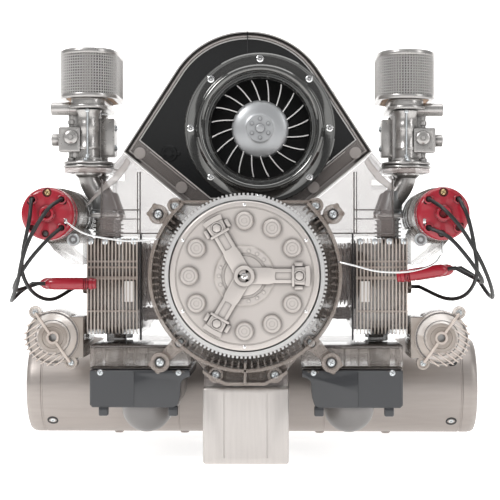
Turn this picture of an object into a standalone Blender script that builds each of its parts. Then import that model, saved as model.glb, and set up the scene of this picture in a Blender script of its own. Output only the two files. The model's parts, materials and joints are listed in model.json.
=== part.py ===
"""Display model of an air-cooled flat four engine with four camshafts, cased in clear plastic.

X runs to the right, Y away from the flywheel and Z up. The origin is the centre of the stand's underside.
Stations along Y are counted from the middle plane of the cylinders, heights from the crank's axis.
"""

import math

import bmesh
import bpy
from mathutils import Matrix, Vector

LEFT = -1
RIGHT = 1
SIDES = {"left": LEFT, "right": RIGHT}
FULL_TURN = 2 * math.pi

# Clearances and joints between shapes
GAP = 0.0003
SPLIT = 0.0003
RUN = 0.0003
SINK = 0.0006
OVERRUN = 0.002
WELD = 0.00001

# Facets on round shapes
FINE = 24
ROUND = 18
SMALL_ROUND = 10
TINY_ROUND = 6
LUG_ROUND = 8

# Stand
STAND_WIDTH = 0.049
STAND_DEPTH = 0.060
STAND_HEIGHT = 0.0437
STAND_EDGE = 0.004
GROOVE_WIDTH = 0.0008
GROOVE_DEPTH = 0.0006
GROOVE_PLACE_SHARES = (-0.25, 0.25)

# Engine frame
CASE_BELOW_CRANK = 0.0637
CRANK_Z = STAND_HEIGHT + GAP + CASE_BELOW_CRANK
STAND_TO_MIDDLE = 0.006
MIDDLE_Y = STAND_DEPTH / 2 + STAND_TO_MIDDLE
BORE_PITCH = 0.038
BANK_OFFSET = 0.012

# Bell housing
BELL_FRONT = -0.066
BELL_PLATE = 0.006
BELL_RIM_REACH = 0.014
BELL_TOP_REACH = 0.0095
BELL_WALL = 0.004
BELL_RIB_HEIGHT = 0.0022
BELL_GEAR_CLEARANCE = 0.0023
BELL_RIB_COUNT = 40
BELL_PLATE_INSET = 0.0005
BELL_TOP_HALF = 0.0425
BELL_TOP_UP = 0.0423
BELL_ARC_TOP_DEGREES = 38
BELL_ARC_LOW_DEGREES = -52
BELL_FOOT_HALF = 0.011
BELL_FOOT_DOWN = 0.0617
BELL_KNEE_HALF = 0.021
BELL_KNEE_DOWN = 0.057
BELL_HOLE_RADIUS = 0.0105
BELL_LUG_RADIUS = 0.0045
BELL_TOP_LUG = (0.0395, 0.0393)
BELL_LOW_LUG = (0.037, -0.038)
BELL_FOOT_BOSS = (0.0167, -0.0561)
EAR_RADIUS = 0.0057
EAR_REACH = 0.006
EAR_SET_IN = 0.0036
EAR_TOP = (0.0494, 0.0345)
EAR_LOW = (0.0485, -0.0493)
EAR_ARM = 0.005
BELL_RIB_WIDTH = 0.0016
BELL_KEEL_TOP_DOWN = 0.0485

# Crankcase
CASE_HALF_WIDTH = 0.024
CASE_TOP_UP = 0.0253
CASE_SHOULDER_UP = 0.018
CASE_SHOULDER_HALF = 0.017
CASE_BACK = 0.060
CASE_FRONT = BELL_FRONT + BELL_PLATE + GAP
CASE_WALL = 0.003
CRANK_ROOM_RADIUS = 0.0175
CRANK_ROOM_END = 0.0335
BEARING_HALF = 0.005
SUMP_ROOF_DOWN = 0.014
PEDESTAL_HALF_WIDTH = 0.014
PEDESTAL_HALF_DEPTH = 0.020

# Crank train
BORE_RADIUS = 0.01415
STROKE = 0.018
THROW = STROKE / 2
ROD_LENGTH = 0.0433
JOURNAL_RADIUS = 0.006
PIN_RADIUS = 0.004
PIN_HALF_LENGTH = 0.004
WEB_THICKNESS = 0.002
WEB_EDGE = 0.002
ROD_HALF_THICKNESS = 0.0018
ROD_BIG_RADIUS = 0.007
ROD_SMALL_RADIUS = 0.0028
ROD_SHANK_HALF_WIDTH = 0.0023
ROD_PIN_RADIUS = 0.0013
ROD_PIN_HALF = 0.0024
PISTON_RADIUS = BORE_RADIUS - RUN
PISTON_WALL = 0.001
PISTON_SKIRT = 0.007
PISTON_BOSS_RADIUS = 0.003
DOME_STEPS = 3
FLANGE_RADIUS = 0.009
FLANGE_THICKNESS = 0.004

# Flywheel and clutch cover
GEAR_RADIUS = 0.046
BELL_RADIUS = GEAR_RADIUS + BELL_GEAR_CLEARANCE + BELL_RIB_HEIGHT + BELL_WALL
GEAR_TOOTH_HEIGHT = 0.0013
GEAR_TEETH = 120
GEAR_THICKNESS = 0.006
FLYWHEEL_FRONT = -0.088
FLYWHEEL_THICKNESS = 0.012
FLYWHEEL_DISC_RADIUS = 0.0435
COVER_RADIUS = 0.0415
COVER_THICKNESS = 0.0030
COVER_EDGE = 0.0012
SPRING_CAP_COUNT = 9
SPRING_CAPS_BETWEEN_LEVERS = 3
SPRING_CAP_CIRCLE = 0.0305
SPRING_CAP_RADIUS = 0.0051
SPRING_CAP_HEIGHT = 0.0026
SPRING_CAP_TOP_SHARE = 0.72
LEVER_COUNT = 3
LEVER_REACH = 0.0364
LEVER_WIDTH = 0.0085
LEVER_HEIGHT = 0.0038
LEVER_HEAD_WIDTH = 0.0125
LEVER_HEAD_LENGTH = 0.006
CENTRE_DISC_RADIUS = 0.0165
CENTRE_DISC_HEIGHT = 0.0010
CLUTCH_HUB_RADIUS = 0.0057
CLUTCH_HUB_HEIGHT = 0.0055
CLUTCH_BORE_RADIUS = 0.0036
CLUTCH_BORE_DEPTH = 0.003

# Cylinder barrels
BARREL_RADIUS = 0.0162
BARREL_FIN_RADIUS = 0.0187
BARREL_FIN_COUNT = 4
BARREL_FLANGE = 0.002
BARREL_INNER = CASE_HALF_WIDTH + GAP

# Cylinder heads
HEAD_INNER = THROW + ROD_LENGTH + THROW
HEAD_OUTER = 0.0945
HEAD_TOP_UP = 0.0213
HEAD_BOTTOM_DOWN = 0.0351
HEAD_HALF_DEPTH = 0.044
HEAD_FIN_COUNT = 7
HEAD_FIN_THICKNESS = 0.0012
HEAD_FIN_REACH = 0.003
CHAMBER_RADIUS = BORE_RADIUS + GAP
RISER_OUT = 0.085
RISER_RADIUS = 0.007
RISER_TOP_UP = 0.0335
EXHAUST_STUB_OUT = 0.078
EXHAUST_STUB_RADIUS = 0.006
WELL_RADIUS = 0.004
WELL_REACH = 0.0035
WELL_UP = -0.0077
TERMINAL_RADIUS = 0.0014
BARREL_OUTER = HEAD_INNER - GAP

# Cam boxes
INTAKE_CAM = (0.110, 0.0345)
EXHAUST_CAM = (0.1125, -0.0365)
CAM_BOX_BACK = 0.045
CAM_BORE_RADIUS = 0.008
INTAKE_BOX_RADIUS = 0.015
INTAKE_BOX_FRONT = -0.050
INTAKE_NECK_RADIUS = 0.013
INTAKE_FOOT = ((0.0948, 0.0055), (0.0948, 0.0235), (0.102, 0.0450), (0.122, 0.0260))
EXHAUST_BOX_RADIUS = 0.0158
EXHAUST_FIN_REACH = 0.0026
EXHAUST_FIN_COUNT = 9
EXHAUST_BOX_FRONT = -0.050
EXHAUST_WALL = 0.0025
EXHAUST_EYE_RADIUS = 0.0023
EXHAUST_EYE_BOSS = 0.0085
EXHAUST_EYE_RISE = 0.0012
EXHAUST_LUG_REACH = 0.0180
EXHAUST_LUG_RADIUS = 0.0038
EXHAUST_LUG_DEGREES = 125.4
EXHAUST_FOOT_HALF = 0.012
CAM_SHAFT_RADIUS = 0.0035
CAM_JOURNAL_RADIUS = 0.0074
CAM_JOURNAL_LENGTH = 0.006
CAM_LOBE_BASE = 0.0048
CAM_LOBE_TIP = 0.0020
CAM_LOBE_LIFT = 0.0045
CAM_LOBE_LENGTH = 0.006
CAM_FRONT = -0.0465
CAM_BACK = 0.0425

# Distributor caps
CAP_FRONT = -0.088
CAP_BACK = -0.070
CAP_RADIUS = 0.0148
CAP_EDGE = 0.0022
CAP_TOWER_RADIUS = 0.0040
CAP_TOWER_HEIGHT = 0.0025
CAP_SOCKET = (0.0082, 0.0079)
CAP_SOCKET_RADIUS = 0.0017
CAP_SOCKET_DEPTH = 0.003

# Plug connectors
CONNECTOR_RADIUS = 0.00345
CONNECTOR_LENGTH = 0.0292
CONNECTOR_NOSE = 0.0024
CONNECTOR_TERMINAL_IN = 0.0021
FRONT_CONNECTOR_STATION = -0.057
REAR_CONNECTOR_STATION = -0.049
FRONT_CONNECTOR_INNER = 0.0862
REAR_CONNECTOR_INNER = 0.0904
CONNECTOR_UP = {LEFT: -0.0051, RIGHT: -0.0012}
CONNECTOR_TILT_DEGREES = {LEFT: 0, RIGHT: 9}

# Fan, its housing and its drive
FAN_RIGHT = 0.0075
FAN_UP = 0.0863
BLADE_COUNT = 20
BLADE_TIP = 0.029
BLADE_ROOT = 0.0160
BLADE_MIDDLE = 0.0225
BLADE_THICKNESS = 0.0011
BLADE_SWEEP_DEGREES = 11
BLADE_SWEEP_SHARES = (0, 0.36, 1)
BLADE_FRONT = -0.0285
BLADE_BACK = -0.015
FAN_HUB_RADIUS = 0.017
FAN_HUB_FRONT = -0.0255
FAN_HUB_BACK = -0.0135
FAN_DOME_RISE = 0.005
FAN_DOME_ROUND_SHARE = 0.7
FAN_CENTRE_RADIUS = 0.0082
FAN_CENTRE_RISE = 0.0013
FAN_SHAFT_RADIUS = 0.003
HOUSING_HALF_DEPTH = 0.028
HOUSING_WALL = 0.0024
HOUSING_FACE = 0.002
HOUSING_ARC_RADIUS = 0.0506
HOUSING_ARC_UP = 0.0933
HOUSING_ARC_STEPS = 8
HOUSING_SLOPE_DEGREES = 57
HOUSING_CORNER = (0.0735, 0.0723)
HOUSING_LOW_POINT = (0.040, 0.0448)
HOUSING_BOTTOM_UP = 0.0406
HOUSING_BAND_WIDTH = 0.007
HOUSING_BAND_RISE = 0.0014
HOUSING_BAND_BOSS = 0.0034
RING_RADIUS = 0.0446
RING_THICKNESS = 0.003
RING_THROAT = 0.0297
RING_THROAT_WALL = 0.0013
RING_LIP_OUTER = 0.038
RING_LIP_TOP = 0.033
RING_LIP_RISE = 0.003
RING_LIP_ROUND_SHARE = 0.75
RING_THROAT_BACK = -0.022
GENERATOR_RADIUS = 0.020
GENERATOR_LENGTH = 0.031
GENERATOR_END = 0.004
GENERATOR_END_RADIUS = 0.016
PULLEY_FRONT = 0.062
PULLEY_WIDTH = 0.008
PULLEY_FLANGE = 0.0015
PULLEY_GROOVE = 0.003
CRANK_PULLEY_RADIUS = 0.021
FAN_PULLEY_RADIUS = 0.015
BELT_WIDTH = 0.0042
BELT_THICKNESS = 0.0027
BELT_STEPS = 9
BELT_CLEARANCE = 0.0006

# Air ducts
DUCT_INNER = 0.040
DUCT_OUTER = 0.086
DUCT_BOTTOM_UP = 0.0222
DUCT_FIN_CLEARANCE = 0.0019
DUCT_BOTTOM_HALF_DEPTH = (BORE_PITCH + BANK_OFFSET) / 2 + BARREL_FIN_RADIUS + DUCT_FIN_CLEARANCE
DUCT_TOP_HALF_DEPTH = 0.028
DUCT_WALL = 0.0016
DUCT_WING_SLOPE = (0.0255, -0.0310)
DUCT_NOTCH_INNER = 0.0766
DUCT_NOTCH_HALF = 0.009
DUCT_NOTCH_TOP_UP = 0.0585
DUCT_PLATE_NOTCH_INNER = 0.0792
DUCT_PLATE_NOTCH_TOP_UP = 0.0690
BAFFLE_OUTER = 0.0628
BAFFLE_INNER = 0.0405
BAFFLE_THICKNESS = 0.0019
BAFFLE_FRONT = -DUCT_BOTTOM_HALF_DEPTH - SINK
BAFFLE_BACK = BAFFLE_FRONT + BAFFLE_THICKNESS
BAFFLE_TOP_UP = 0.026
BAFFLE_BOTTOM_DOWN = 0.039
BAFFLE_POST = 0.0018
BAFFLE_POST_REACH = 0.0036

# Intake side
CARB_OUT = 0.095
PLATE_HALF_WIDTH = 0.0145
PLATE_BOTTOM_UP = 0.060
PLATE_THICKNESS = 0.003
RUNNER_RADIUS = 0.0062
RUNNER_FLANGE_HALF = 0.0078
RUNNER_FLANGE = 0.0025
CARB_BASE_THICKNESS = 0.004
CARB_BASE_HALF_WIDTH = 0.015
CARB_BARREL_RADIUS = 0.0068
CARB_BARREL_TOP_UP = 0.1003
CARB_TOP_FLANGE = 0.003
CARB_TOP_HALF_WIDTH = 0.0118
CARB_NECK_HALF_WIDTH = 0.0105
CARB_WEB_HALF_WIDTH = 0.0045
CARB_BORE_RADIUS = 0.0045
CARB_BORE_DEPTH = 0.012
BOWL_RADIUS = 0.0039
BOWL_UP = 0.0985
BOWL_OUTER = 0.117
PUMP_OUTER = 0.1125
PUMP_BOTTOM_UP = 0.0725
PUMP_TOP_UP = 0.0873
PUMP_HALF_DEPTH = 0.006
PUMP_CAP_RADIUS = 0.0036
PUMP_CAP_OUTER = 0.1167
SIDE_BOX_INNER = 0.0805
SIDE_BOX_BOTTOM_UP = 0.0707
SIDE_BOX_TOP_UP = 0.0938
SIDE_BOX_HALF_DEPTH = 0.007
FILTER_BOTTOM_UP = 0.1046
FILTER_HEIGHT = 0.0285
FILTER_HALF_WIDTH = 0.0172
FILTER_HALF_LENGTH = 0.032
FILTER_WALL = 0.0012
FILTER_FLOOR = 0.0015
FILTER_RIM = 0.0007
FILTER_RIM_HEIGHT = 0.0025
FILTER_MOUTH_HALF_WIDTH = 0.008
FILTER_KNOB_RADIUS = 0.0016
FILTER_KNOB_HEIGHT = 0.0035

# Heater boxes, covers and silencer
HEATER_INNER = 0.0315
HEATER_OUTER = 0.090
HEATER_TOP_DOWN = 0.0405
HEATER_BOTTOM_DOWN = 0.0541
HEATER_FRONT = -0.0585
HEATER_BACK = 0.050
HEATER_EDGE = 0.003
COVER_BOX_INNER = 0.032
COVER_BOX_OUTER = 0.0895
COVER_BOX_TOP_DOWN = 0.0544
COVER_BOX_BOTTOM_DOWN = 0.0758
COVER_BOX_FRONT = -0.062
COVER_BOX_BACK = 0.000
COVER_NOTCH_WIDTH = 0.006
COVER_NOTCH_HEIGHT = 0.0115
COVER_FOOT_HEIGHT = 0.005
COVER_FOOT_WIDTH = 0.0055
COVER_FOOT_INS = (0.0105, 0.0505)
ELBOW_OUT = 0.0603
ELBOW_RADIUS = 0.0150
ELBOW_UP = -0.0794
ELBOW_FRONT = -0.035
SILENCER_HALF_LENGTH = 0.147
SILENCER_RADIUS = 0.031
SILENCER_STATION = 0.0905
SILENCER_Z = 0.0321
SILENCER_EDGE = 0.004
NUB_RADIUS = 0.003
NUB_OUTS = (0.045, 0.089)

# Leads and thin wires
LEAD_RADIUS = 0.0011
LEAD_POINTS = 10
WIRE_RADIUS = 0.0005
WIRE_POINTS = 9
LEAD_RESOLUTION = 2
WIRE_RESOLUTION = 1

AXIS_TURN = {
    "X": Matrix.Rotation(math.pi / 2, 4, "Y"),
    "Y": Matrix.Rotation(-math.pi / 2, 4, "X"),
    "Z": Matrix.Identity(4),
}
PLANE_TURN = {
    "X": Matrix(((0, 0, 1, 0), (1, 0, 0, 0), (0, 1, 0, 0), (0, 0, 0, 1))),
    "Y": Matrix.Rotation(math.pi / 2, 4, "X"),
    "Z": Matrix.Identity(4),
}


def clear_scene():
    for old in list(bpy.data.objects):
        bpy.data.objects.remove(old)


def model_collection():
    collection = bpy.data.collections.new("four_stroke_engine_model")
    bpy.context.scene.collection.children.link(collection)
    return collection


clear_scene()
MODEL = model_collection()


def material(name, colour, roughness, metallic=0.0, alpha=1.0):
    made = bpy.data.materials.new(name)
    made.use_nodes = True
    shader = made.node_tree.nodes["Principled BSDF"]
    shader.inputs["Base Color"].default_value = (*colour, 1)
    shader.inputs["Roughness"].default_value = roughness
    shader.inputs["Metallic"].default_value = metallic
    shader.inputs["Alpha"].default_value = alpha
    made.diffuse_color = (*colour, alpha)
    return made


CLEAR = material("clear_plastic", (0.78, 0.76, 0.74), 0.12, alpha=0.4)
SMOKED = material("smoked_plastic", (0.04, 0.042, 0.046), 0.12, alpha=0.85)
SILVER = material("silver_plastic", (0.62, 0.61, 0.60), 0.35, metallic=0.7)
BRIGHT = material("bright_metal", (0.78, 0.78, 0.78), 0.18, metallic=1.0)
WARM_SILVER = material("warm_silver", (0.50, 0.46, 0.44), 0.42, metallic=0.6)
BLACK = material("black_plastic", (0.06, 0.065, 0.075), 0.4)
RED = material("red_plastic", (0.50, 0.02, 0.04), 0.3)
RUBBER = material("black_rubber", (0.015, 0.015, 0.016), 0.5)
STEEL = material("dark_steel", (0.35, 0.34, 0.33), 0.4, metallic=0.9)


def station(offset):
    """World Y of a station counted from the middle plane."""
    return MIDDLE_Y + offset


def height(up):
    """World Z of a height counted from the crank's axis."""
    return CRANK_Z + up


def bore_stations(side):
    """Stations of the front and rear cylinder of one bank."""
    front = (side * BANK_OFFSET - BORE_PITCH) / 2
    return front, front + BORE_PITCH


def around(radius, sides):
    """The corner radius of a faceted hole whose flats clear a turning piece."""
    return (radius + RUN) / math.cos(math.pi / sides)


def shape(mesh_or_bmesh):
    """A working object that holds a finished mesh in world coordinates."""
    mesh = mesh_or_bmesh
    if isinstance(mesh_or_bmesh, bmesh.types.BMesh):
        mesh = bpy.data.meshes.new("work")
        mesh_or_bmesh.to_mesh(mesh)
        mesh_or_bmesh.free()
    made = bpy.data.objects.new("work", mesh)
    MODEL.objects.link(made)
    return made


def tidied(mesh):
    """The mesh with its seams welded and its faces pointing out."""
    work = bmesh.new()
    work.from_mesh(mesh)
    bmesh.ops.remove_doubles(work, verts=work.verts, dist=WELD)
    bmesh.ops.recalc_face_normals(work, faces=work.faces)
    work.to_mesh(mesh)
    work.free()
    return mesh


def baked(source):
    """The evaluated mesh of an object, which is then removed."""
    graph = bpy.context.evaluated_depsgraph_get()
    mesh = bpy.data.meshes.new_from_object(source.evaluated_get(graph))
    mesh.transform(source.matrix_world)
    bpy.data.objects.remove(source)
    return mesh


def combined(base, operation, tools, solver="EXACT"):
    for tool in tools:
        step = base.modifiers.new("joint", "BOOLEAN")
        step.operation = operation
        step.solver = solver
        step.object = tool
    graph = bpy.context.evaluated_depsgraph_get()
    mesh = bpy.data.meshes.new_from_object(base.evaluated_get(graph))
    base.modifiers.clear()
    base.data = mesh
    for tool in tools:
        bpy.data.objects.remove(tool)
    return base


def joined(base, *tools, solver="EXACT"):
    return combined(base, "UNION", tools, solver)


def cut(base, *tools):
    return combined(base, "DIFFERENCE", tools)


def in_one_mesh(parts):
    """Shapes that don't meet, gathered in one working object."""
    work = bmesh.new()
    for part in parts:
        work.from_mesh(part.data)
        bpy.data.objects.remove(part)
    return shape(work)


def point_on(axis, along, first, second):
    """A point from its place along an axis and its two other coordinates, in X, Y, Z order."""
    places = {"X": (along, first, second), "Y": (first, along, second), "Z": (first, second, along)}
    return Vector(places[axis])


def cylinder(axis, radius, low, high, centre, sides=SMALL_ROUND, far_radius=None):
    work = bmesh.new()
    bmesh.ops.create_cone(
        work,
        cap_ends=True,
        segments=sides,
        radius1=radius,
        radius2=radius if far_radius is None else far_radius,
        depth=high - low,
    )
    middle = point_on(axis, (low + high) / 2, *centre)
    work.transform(Matrix.Translation(middle) @ AXIS_TURN[axis])
    return shape(work)


def box(low, high, edge=0, edge_axis=2, steps=2):
    """A box between two corners, with its edges along one axis rounded if an edge radius is given."""
    low, high = Vector(low), Vector(high)
    work = bmesh.new()
    size = Matrix.Diagonal((*(high - low), 1))
    bmesh.ops.create_cube(work, size=1, matrix=Matrix.Translation((low + high) / 2) @ size)
    if edge:
        along = [e for e in work.edges if abs((e.verts[0].co - e.verts[1].co).normalized()[edge_axis]) > 0.5]
        bmesh.ops.bevel(work, geom=along, offset=edge, segments=steps, affect="EDGES", profile=0.5)
    return shape(work)


def sided_box(side, inner, outer, front, back, low, top, **rounding):
    """A box given by its distances out from the middle, its stations and its heights."""
    across = sorted((side * inner, side * outer))
    return box(
        (across[0], station(front), height(low)),
        (across[1], station(back), height(top)),
        **rounding,
    )


def turned(axis, centre, profile, sides=ROUND):
    """A turned solid from (radius, place along the axis) pairs.

    The pairs are a loop, or a chain with both ends on the axis.
    """
    mesh = bpy.data.meshes.new("profile")
    edges = [(i, i + 1) for i in range(len(profile) - 1)]
    if profile[0][0] and profile[-1][0]:
        edges.append((len(profile) - 1, 0))
    mesh.from_pydata([(radius, 0, along) for radius, along in profile], edges, [])
    turning = shape(mesh)
    screw = turning.modifiers.new("turning", "SCREW")
    screw.axis = "Z"
    screw.angle = FULL_TURN
    screw.steps = sides
    screw.render_steps = sides
    screw.use_merge_vertices = True
    screw.merge_threshold = WELD
    made = tidied(baked(turning))
    made.transform(Matrix.Translation(point_on(axis, 0, *centre)) @ AXIS_TURN[axis])
    return shape(made)


def plate(loops, axis, low, high):
    """A flat outline, with any holes as further loops, that runs from low to high along an axis."""
    curve = bpy.data.curves.new("outline", "CURVE")
    curve.dimensions = "2D"
    curve.fill_mode = "BOTH"
    curve.extrude = (high - low) / 2
    for loop in loops:
        spline = curve.splines.new("POLY")
        spline.points.add(len(loop) - 1)
        spline.use_cyclic_u = True
        for place, (u, v) in zip(spline.points, loop):
            place.co = (u, v, 0, 1)
    drawn = bpy.data.objects.new("outline", curve)
    MODEL.objects.link(drawn)
    made = tidied(baked(drawn))
    made.transform(Matrix.Translation(point_on(axis, (low + high) / 2, 0, 0)) @ PLANE_TURN[axis])
    return shape(made)


def tube(points, radius, resolution=LEAD_RESOLUTION):
    """A round bar along points, as a curve object."""
    curve = bpy.data.curves.new("route", "CURVE")
    curve.dimensions = "3D"
    curve.bevel_depth = radius
    curve.bevel_resolution = resolution
    curve.use_fill_caps = True
    spline = curve.splines.new("POLY")
    spline.points.add(len(points) - 1)
    for place, point in zip(spline.points, points):
        place.co = (*point, 1)
    made = bpy.data.objects.new("route", curve)
    MODEL.objects.link(made)
    return made


def arc(centre, radius, start, end, steps):
    """Points on an arc, with its angles in degrees."""
    angles = [math.radians(start + (end - start) * i / steps) for i in range(steps + 1)]
    return [(centre[0] + radius * math.cos(a), centre[1] + radius * math.sin(a)) for a in angles]


def circle(centre, radius, sides):
    return arc(centre, radius, 0, 360, sides)[:-1]


def linked_circles(first, first_radius, second, second_radius, steps):
    """The outline round two circles and the straight sides that touch both."""
    across = Vector(second) - Vector(first)
    heading = math.degrees(math.atan2(across.y, across.x))
    lean = math.degrees(math.acos((first_radius - second_radius) / across.length))
    back = arc(first, first_radius, heading + lean, heading + 360 - lean, steps)
    return back + arc(second, second_radius, heading - lean, heading + lean, steps)


def meeting(point, along, other, other_along):
    """Where two lines of a plane cross."""
    turn = along[0] * other_along[1] - along[1] * other_along[0]
    gap = (other[0] - point[0], other[1] - point[1])
    share = (gap[0] * other_along[1] - gap[1] * other_along[0]) / turn
    return point[0] + along[0] * share, point[1] + along[1] * share


def sided(side, outline):
    """An outline of (out, up) pairs as world (X, Z) pairs on one side."""
    return [(side * out, height(up)) for out, up in outline]


def slot_outline(centre, half_width, half_length, steps=5):
    """A slot with round ends that runs along Y, as (X, Y) pairs."""
    reach = half_length - half_width
    far = arc((centre[0], centre[1] + reach), half_width, 0, 180, steps)
    near = arc((centre[0], centre[1] - reach), half_width, 180, 360, steps)
    return far + near


def shaded(mesh):
    mesh.shade_smooth()
    mesh.set_sharp_from_angle(angle=math.radians(35))


def finished(made, name, finish, axis_empty=None):
    """Names a piece, gives it its material and, if it moves, hangs it on its axis."""
    made.name = name
    made.data.name = name
    made.data.materials.clear()
    made.data.materials.append(finish)
    if made.type == "MESH":
        shaded(made.data)
    if axis_empty is not None:
        made.data.transform(Matrix.Translation(-axis_empty.matrix_world.translation))
        made.parent = axis_empty
    return made


def axis_point(name, place, parent=None):
    """An empty on a joint's axis."""
    empty = bpy.data.objects.new(name, None)
    empty.location = Vector(place) - (parent.matrix_world.translation if parent else Vector())
    empty.parent = parent
    empty.empty_display_size = STAND_EDGE
    MODEL.objects.link(empty)
    bpy.context.view_layer.update()
    return empty


def stand():
    block = box(
        (-STAND_WIDTH / 2, -STAND_DEPTH / 2, 0),
        (STAND_WIDTH / 2, STAND_DEPTH / 2, STAND_HEIGHT),
        edge=STAND_EDGE,
        steps=3,
    )
    grooves = []
    for share in GROOVE_PLACE_SHARES:
        middle = share * STAND_WIDTH
        for face in (-STAND_DEPTH / 2, STAND_DEPTH / 2):
            grooves.append(
                box(
                    (middle - GROOVE_WIDTH / 2, face - GROOVE_DEPTH, -OVERRUN),
                    (middle + GROOVE_WIDTH / 2, face + GROOVE_DEPTH, STAND_HEIGHT + OVERRUN),
                )
            )
    finished(cut(block, *grooves), "stand_block", SILVER)


def bell_outline():
    right = [(BELL_TOP_HALF, BELL_TOP_UP)]
    right += arc((0, 0), BELL_RADIUS - BELL_PLATE_INSET, BELL_ARC_TOP_DEGREES, BELL_ARC_LOW_DEGREES, 8)
    right += [(BELL_KNEE_HALF, -BELL_KNEE_DOWN), (BELL_FOOT_HALF, -BELL_FOOT_DOWN)]
    left = [(-out, up) for out, up in reversed(right)]
    return sided(RIGHT, right + left)


def bell_rim_outline():
    """The rim below the flat top, with ribs on its inner side."""
    start = math.degrees(math.asin((BELL_TOP_UP - BELL_WALL / 4) / BELL_RADIUS))
    end = -180 - start
    outer = arc((0, 0), BELL_RADIUS, start, end, 24)
    pitch = (end - start) / BELL_RIB_COUNT
    valleys = arc((0, 0), BELL_RADIUS - BELL_WALL, start, end, BELL_RIB_COUNT)
    crests = arc(
        (0, 0),
        BELL_RADIUS - BELL_WALL - BELL_RIB_HEIGHT,
        start + pitch / 2,
        end - pitch / 2,
        BELL_RIB_COUNT - 1,
    )
    inner = [valleys[0]]
    for crest, valley in zip(crests, valleys[1:]):
        inner += [crest, valley]
    return sided(RIGHT, outer + inner[::-1])


def ear(side, place):
    """A round eared boss on an arm that reaches the bell's plate."""
    arm = linked_circles(place, EAR_ARM / 2, (place[0] / 2, place[1] / 2), EAR_ARM / 2, 4)
    boss = cylinder(
        "Y",
        EAR_RADIUS,
        station(BELL_FRONT - EAR_REACH),
        station(BELL_FRONT + EAR_SET_IN),
        (side * place[0], height(place[1])),
    )
    ends = (station(BELL_FRONT + SINK), station(BELL_FRONT + BELL_PLATE - 2 * SINK))
    return joined(plate([sided(side, arm)], "Y", *ends), boss)


def bell_housing():
    front = station(BELL_FRONT)
    back = station(BELL_FRONT + BELL_PLATE)
    reach = station(BELL_FRONT - BELL_RIM_REACH)
    hole = circle((0, CRANK_Z), BELL_HOLE_RADIUS, ROUND)
    body = plate([bell_outline(), hole], "Y", front, back)
    rim = plate([bell_rim_outline()], "Y", reach, front + SINK)
    top = box(
        (-BELL_TOP_HALF, station(BELL_FRONT - BELL_TOP_REACH), height(BELL_TOP_UP - BELL_WALL / 2)),
        (BELL_TOP_HALF, front + SINK, height(BELL_TOP_UP)),
    )
    keel = box(
        (-BELL_RIB_WIDTH / 2, reach, height(-BELL_FOOT_DOWN)),
        (BELL_RIB_WIDTH / 2, front + SINK, height(-BELL_KEEL_TOP_DOWN)),
    )
    fixings = []
    for side in SIDES.values():
        for out, up in (BELL_TOP_LUG, BELL_LOW_LUG, BELL_FOOT_BOSS):
            fixings.append(
                cylinder(
                    "Y",
                    BELL_LUG_RADIUS,
                    station(BELL_FRONT - BELL_TOP_REACH) - SINK,
                    back - SINK,
                    (side * out, height(up)),
                    sides=LUG_ROUND,
                )
            )
        fixings += [ear(side, EAR_TOP), ear(side, EAR_LOW)]
    finished(joined(body, rim, top, keel, *fixings), "bell_housing", CLEAR)


def bore_cutter(side, bore, inner, outer, radius=BORE_RADIUS):
    """A round cutter on a cylinder's axis, with its facets in line with the piston's."""
    profile = [(0, side * inner), (radius, side * inner), (radius, side * outer), (0, side * outer)]
    return turned("X", (station(bore), CRANK_Z), profile, SMALL_ROUND)


def crankcase(name, side):
    outline = [
        (SPLIT / 2, -CASE_BELOW_CRANK),
        (CASE_HALF_WIDTH, -CASE_BELOW_CRANK),
        (CASE_HALF_WIDTH, CASE_SHOULDER_UP),
        (CASE_SHOULDER_HALF, CASE_TOP_UP),
        (SPLIT / 2, CASE_TOP_UP),
    ]
    body = plate([sided(side, outline)], "Y", station(CASE_FRONT), station(CASE_BACK))
    pedestal = sided_box(
        side,
        SPLIT / 2,
        PEDESTAL_HALF_WIDTH,
        -PEDESTAL_HALF_DEPTH,
        PEDESTAL_HALF_DEPTH,
        CASE_TOP_UP - SINK,
        HOUSING_BOTTOM_UP - GAP,
    )
    body = joined(body, pedestal)
    rooms = []
    for low, high in ((-CRANK_ROOM_END, -BEARING_HALF), (BEARING_HALF, CRANK_ROOM_END)):
        ends = (station(low), station(high))
        rooms.append(cylinder("Y", CRANK_ROOM_RADIUS, *ends, (0, CRANK_Z), sides=ROUND))
    journal = cylinder(
        "Y",
        around(JOURNAL_RADIUS, SMALL_ROUND),
        station(CASE_FRONT) - OVERRUN,
        station(CASE_BACK) + OVERRUN,
        (0, CRANK_Z),
    )
    sump = sided_box(
        side,
        -OVERRUN,
        CASE_HALF_WIDTH - CASE_WALL,
        CASE_FRONT + CASE_WALL,
        CASE_BACK - CASE_WALL,
        CASE_WALL - CASE_BELOW_CRANK,
        -SUMP_ROOF_DOWN,
    )
    spigots = []
    for bore in bore_stations(side):
        spigots.append(bore_cutter(side, bore, JOURNAL_RADIUS * 2, CASE_HALF_WIDTH + OVERRUN))
    finished(cut(body, *rooms, journal, sump, *spigots), f"crankcase_{name}", CLEAR)


def barrel_profile(side):
    fin_zone = BARREL_OUTER - BARREL_INNER - 2 * BARREL_FLANGE
    pitch = fin_zone / BARREL_FIN_COUNT
    profile = [(0, side * BARREL_INNER), (BARREL_RADIUS, side * BARREL_INNER)]
    for fin in range(BARREL_FIN_COUNT):
        start = BARREL_INNER + BARREL_FLANGE + pitch * fin
        profile.append((BARREL_RADIUS, side * start))
        profile.append((BARREL_FIN_RADIUS, side * (start + pitch / 2)))
    profile += [(BARREL_RADIUS, side * (BARREL_OUTER - BARREL_FLANGE))]
    profile += [(BARREL_RADIUS, side * BARREL_OUTER), (0, side * BARREL_OUTER)]
    return profile


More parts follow.
